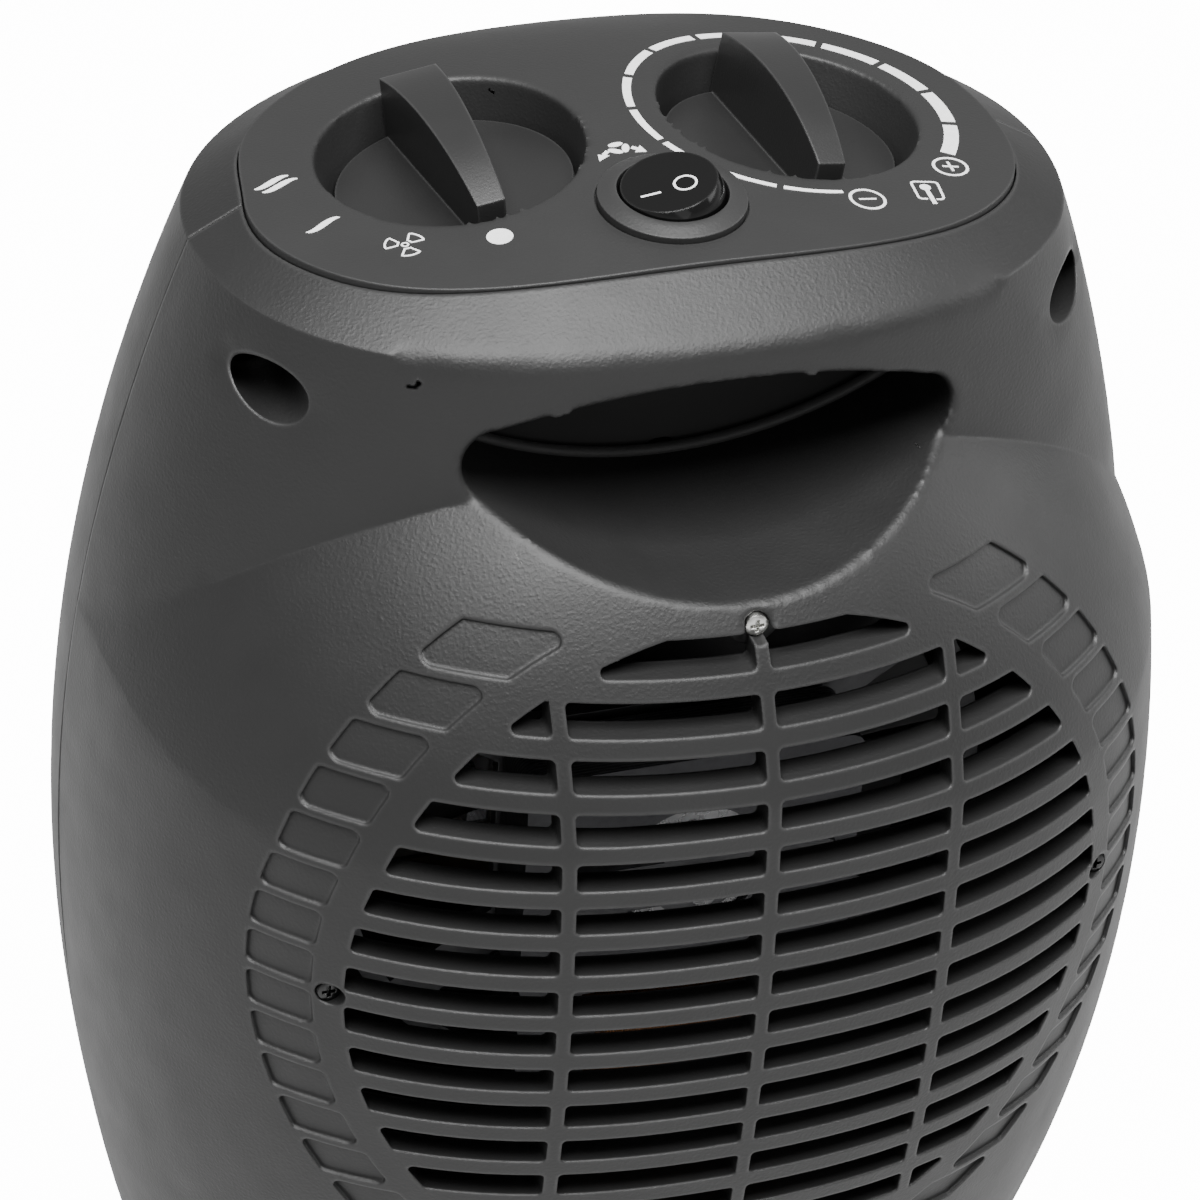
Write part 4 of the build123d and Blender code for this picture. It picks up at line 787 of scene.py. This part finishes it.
def metal(name, colour, roughness, stain=(0.2, 0.19, 0.17), stained=0.3, grain=0.0003,
          depth=0.000004):
    """A bare or plated metal: fine grain, drifting gloss, dull stains, and edges painted brighter,
    partly as wear and partly as a painted highlight.
    """
    edge = 0.0002
    made, output = blank_material(name)
    tree = made.node_tree
    skin = place_group(tree, "moulded_grain", Cell=grain, Drift=0.006)
    rim = place_group(tree, "rounded_edge", Radius=edge, Reach=1.5 * edge)
    dull = maths(tree, "MULTIPLY_ADD", skin["Tone"], 3.2 * stained, -1.4 * stained, use_clamp=True)
    mottled = blend_colour(tree, dull, colour, stain)
    # Edges painted brighter: partly wear, partly a painted highlight.
    edge_wear_and_highlight_colour = blend_colour(tree, maths(tree, "MULTIPLY", rim["Wear_and_highlight"], 0.6), mottled,
                          [min(1.0, 1.3 * part + 0.03) for part in colour])
    shine = maths(tree, "MULTIPLY_ADD", skin["Gloss"], 0.3, roughness - 0.15, use_clamp=True)
    relief = put(tree, "ShaderNodeBump", {
        "Height": skin["Height"], "Normal": rim["Normal"], "Distance": depth, "Strength": 1.0})
    shader = put(tree, "ShaderNodeBsdfPrincipled", {
        "Base Color": edge_wear_and_highlight_colour, "Metallic": 1.0, "Roughness": shine,
        "Normal": relief.outputs[0]})
    tree.links.new(shader.outputs[0], output.inputs["Surface"])
    return made


# Blackened steel, its colour darkened further as painted shade for the screws deep in their holes.
blackened_and_shaded = metal("blackened_steel_shaded", (0.05, 0.05, 0.05), 0.3, stain=(0.02, 0.02, 0.02))
zinc = metal("zinc_plate", (0.62, 0.62, 0.6), 0.3, stain=(0.35, 0.34, 0.32))


def cross_screw(centre, axis, head_radius, head_height, shank_radius, length):
    """One screw as a turned profile (radius, depth under the top of the head) round its axis,
    which lies along Y or Z: a low dome, its flank, then a ridged shank with a point. A cross is
    sunk into the dome by a depth that falls off from two crossing bars."""
    dome = np.linspace(0.0, 1.0, 22)
    flank = np.linspace(0.15, 1.0, 4)
    thread = np.linspace(0.0, 1.0, 36)
    pitch = 0.9 * shank_radius
    ridge = 0.82 + 0.18 * np.abs(1.0 - 2.0 * np.mod(thread * length / pitch, 1.0))
    taper = np.minimum(1.0, (1.0 - thread) / 0.12 + 0.05)
    radius = np.concatenate((head_radius * dome, np.full(len(flank), head_radius),
                             shank_radius * ridge * taper, [0.0]))
    depth = np.concatenate((0.22 * head_height * dome ** 4, head_height * flank,
                            head_height + thread * (length - head_height), [length]))
    turn = np.linspace(0.0, 2.0 * np.pi, 64, endpoint=False)
    u = np.abs(radius[:, None] * np.cos(turn) / head_radius)
    v = np.abs(radius[:, None] * np.sin(turn) / head_radius)
    half_width, half_length, width_slope, length_slope = 0.17, 0.62, 0.06, 0.1
    bars = [
        np.clip((half_width - over) / width_slope, 0, 1)
        * np.clip((half_length - along) / length_slope, 0, 1)
        for over, along in ((u, v), (v, u))
    ]
    on_dome = np.arange(len(radius))[:, None] < len(dome)
    under = depth[:, None] + np.where(on_dome, 0.55 * head_height * np.maximum(*bars), 0.0)
    axis = np.asarray(axis, float)
    side = np.cross(axis, (1.0, 0.0, 0.0))
    other = np.cross(axis, side)
    spots = (np.asarray(centre, float) - under[..., None] * axis
             + (radius[:, None] * np.cos(turn))[..., None] * side
             + (radius[:, None] * np.sin(turn))[..., None] * other)
    rows, columns = under.shape
    index = np.arange(rows * columns).reshape(rows, columns)
    following = np.roll(index, -1, axis=1)
    quads = np.stack((index[:-1], index[1:], following[1:], following[:-1]), axis=-1)
    return spots.reshape(-1, 3), quads.reshape(-1, 4)


def screw_set(cad_name, finish, places, axis, sizes, odd=None):
    """Screws with their tops at the given places, in place of a CAD node of plain pins. Sizes are
    the head's radius and height, the shank's radius and each length, in millimetres. The last
    screw may have an odd finish of its own."""
    head_radius, head_height, shank_radius, lengths = sizes
    points, faces, total = [], [], 0
    for place, length in zip(places, lengths):
        spots, quads = cross_screw(place, axis, head_radius, head_height, shank_radius, length)
        points.append(spots)
        faces.append(quads + total)
        total += len(spots)
    mesh = closed_mesh(cad_name + "_cross", np.vstack(points), np.vstack(faces))
    finished(mesh, cad_name, finish, corner=40.0, name=cad_name + "_cross")
    if odd is not None:
        mesh.materials.append(odd)
        middles = np.empty(3 * len(mesh.polygons))
        mesh.polygons.foreach_get("center", middles)
        first, last = np.asarray(places[0]), np.asarray(places[-1])
        away = np.abs(middles.reshape(-1, 3) * 1000.0 - last).max(axis=1)
        on_last = away < np.abs(last - first).max() / 2
        mesh.polygons.foreach_set("material_index", on_last.astype(np.int32))
        mesh.update()


def rear_screws(cad_name, finish, places, head_radius, head_height, shank_radius, odd=None):
    """Screws that face rearwards at places in XZ, millimetres. Each top and length comes from the
    reach in Y of the CAD node's points within reach of its axis."""
    reach = 4.0
    points = corner_points(frame["nodes"][cad_name].data) * 1000.0
    tops, lengths = [], []
    for x, z in places:
        near = np.hypot(points[:, 0] - x, points[:, 2] - z) < reach
        top, tip = points[near, 1].max(), points[near, 1].min()
        tops.append((x, top, z))
        lengths.append(top - tip)
    sizes = (head_radius, head_height, shank_radius, lengths)
    screw_set(cad_name, finish, tops, (0, 1, 0), sizes, odd=odd)


def four_round(radius, first, height):
    """Four places a quarter turn apart on a circle round the swivel axis."""
    turns = np.radians(first + 90.0 * np.arange(4))
    return [(radius * math.cos(turn), radius * math.sin(turn), height) for turn in turns]


rear_screws("shell_screws", zinc, [(side * 1000.0 * well_x, 1000.0 * well_z) for side in (1, -1)],
            head_radius=3.6, head_height=2.4, shank_radius=1.5)
rear_screws("shroud_screws", blackened_and_shaded,
            [(66.0, 148.0), (-66.0, 148.0), (0.0, 82.0), (0.0, 210.8)],
            head_radius=1.85, head_height=1.6, shank_radius=1.1, odd=zinc)
small_head_radius, small_head_height, small_shank = 2.2, 1.4, 1.1
for name, finish, places, axis, length in (
    ("base_screws", blackened_and_shaded, four_round(64.0, 20.0, 1.6), (0, 0, -1), 9.9),
    ("neck_screws", zinc, four_round(19.0, 45.0, 46.4), (0, 0, 1), 3.9),
    ("gear_motor_screws", zinc, [(29.0, 39.0, 8.1), (-29.0, 39.0, 8.1)], (0, 0, 1), 2.6),
):
    screw_set(name, finish, places, axis,
              (small_head_radius, small_head_height, small_shank, [length] * len(places)))

# Switches under the panel: a boxed selector and a thermostat with its bimetal,
# in buff phenolic, snapped under the recesses.
phenolic = moulded("buff_phenolic", (0.46, 0.42, 0.34), 0.5, cell=0.0006, depth=0.00002,
                   edge=0.0003, worn=0.2)
dressed(phenolic, "function_switch", "thermostat_switch")

# Fan and motor: a black shroud carries a shaded-pole motor on a sheet steel
# plate. The core is a stack of sheets, the coil varnished copper.
inner_black = moulded("inner_black", (0.016, 0.016, 0.016), 0.5, cell=0.0005, depth=0.00002,
                      edge=0.0005, worn=0.4)
dressed(inner_black, "fan_shroud")
fan_finish = moulded("fan_grey", (0.045, 0.045, 0.046), 0.45, cell=0.0006, depth=0.00001,
                     edge=0.0004, worn=0.4)
dressed(fan_finish, "fan_impeller")

galvanised = metal("galvanised_sheet", (0.2, 0.2, 0.205), 0.6, grain=0.0012, depth=0.00001,
                   stain=(0.1, 0.1, 0.105), stained=0.6)
dressed(galvanised, "motor_mount", "motor_bridges", "air_duct")
turned_steel = metal("turned_steel", (0.58, 0.58, 0.59), 0.28, grain=0.0005)
dressed(turned_steel, "fan_shaft")
band_repeat = 0.314


def striped(name, first, second, roughness, pitch, direction, depth, metallic):
    """Fine parallel lines of one pitch along an axis, wavering a little, with raised crowns. A
    Wave texture's bands lie band_repeat over its scale apart."""
    made, output = blank_material(name)
    tree = made.node_tree
    where = put(tree, "ShaderNodeTexCoord").outputs["Object"]
    lines = put(tree, "ShaderNodeTexWave", {
        "Vector": where, "Scale": band_repeat / pitch, "Distortion": 0.5, "Detail": 2.0,
        "Detail Scale": 2.0}, wave_type="BANDS", bands_direction=direction)
    drift = put(tree, "ShaderNodeTexNoise", {"Vector": where, "Scale": 90.0, "Detail": 4.0})
    toned = blend_colour(tree, lines.outputs["Fac"], first, second)
    worn = maths(tree, "MULTIPLY_ADD", drift.outputs[0], 0.3, roughness - 0.15, use_clamp=True)
    relief = put(tree, "ShaderNodeBump", {
        "Height": lines.outputs["Fac"], "Distance": depth, "Strength": 1.0})
    shader = put(tree, "ShaderNodeBsdfPrincipled", {
        "Base Color": toned, "Metallic": metallic, "Roughness": worn,
        "Normal": relief.outputs[0]})
    tree.links.new(shader.outputs[0], output.inputs["Surface"])
    return made


sheets = striped("stacked_sheets", (0.1, 0.1, 0.105), (0.2, 0.2, 0.21), 0.5, 0.0007, "Y",
                 0.00008, metallic=0.7)
dressed(sheets, "motor_core")
windings = striped("varnished_copper", (0.16, 0.06, 0.02), (0.4, 0.17, 0.05), 0.3, 0.0005, "X",
                   0.0001, metallic=0.3)
dressed(windings, "motor_coil")

# Heating element: ceramic bars with rolled aluminium fins between them, in a
# brown phenolic frame with a thermal cut-out and a fuse on top.
frame_finish = moulded("brown_phenolic", (0.19, 0.13, 0.085), 0.5, cell=0.0007, depth=0.00003,
                       edge=0.0005, worn=0.3)
dressed(frame_finish, "heater_frame")
ceramic = moulded("ceramic_bar", (0.6, 0.57, 0.52), 0.6, cell=0.0003, depth=0.00003,
                  edge=0.0004, worn=0.2)
dressed(ceramic, "heating_bars")
rolled = striped("rolled_fins", (0.55, 0.55, 0.57), (0.72, 0.72, 0.74), 0.3, 0.0009, "X",
                 0.00002, metallic=1.0)
dressed(rolled, "heating_fins")
cutout_finish = moulded("cutout_phenolic", (0.03, 0.028, 0.027), 0.4, edge=0.0004, worn=0.3)
dressed(cutout_finish, "thermal_cutout")
fuse_finish = moulded("fuse_coating", (0.72, 0.68, 0.58), 0.4, cell=0.0008, edge=0.0003, worn=0.2)
dressed(fuse_finish, "thermal_fuse")

# Swing drive: a black neck with an acetal arm, a crank disc with its roller on
# the gear motor's steel can, and the glide ring that the head turns on.
dressed(inner_black, "swivel_neck")
gear_finish = metal("gear_motor_can", (0.5, 0.5, 0.49), 0.36, grain=0.0008)
dressed(gear_finish, "gear_motor")
dressed(natural, "drive_arm", "crank_disc", "crank_roller", "glide_ring")

# Base: a low charcoal dome with a bottom plate, four screws through it and
# four rubber feet pressed into the plate.
dressed(charcoal, "base_cover")
plate_finish = moulded("bottom_plate_black", (0.02, 0.02, 0.02), 0.55, cell=0.0006,
                       depth=0.00004, edge=0.0005, worn=0.6)
dressed(plate_finish, "base_plate")
rubber = moulded("foot_rubber", (0.022, 0.022, 0.022), 0.8, cell=0.0005, depth=0.00005,
                 edge=0.0006, worn=0.8, gloss_drift=0.1)
dressed(rubber, "rubber_feet")
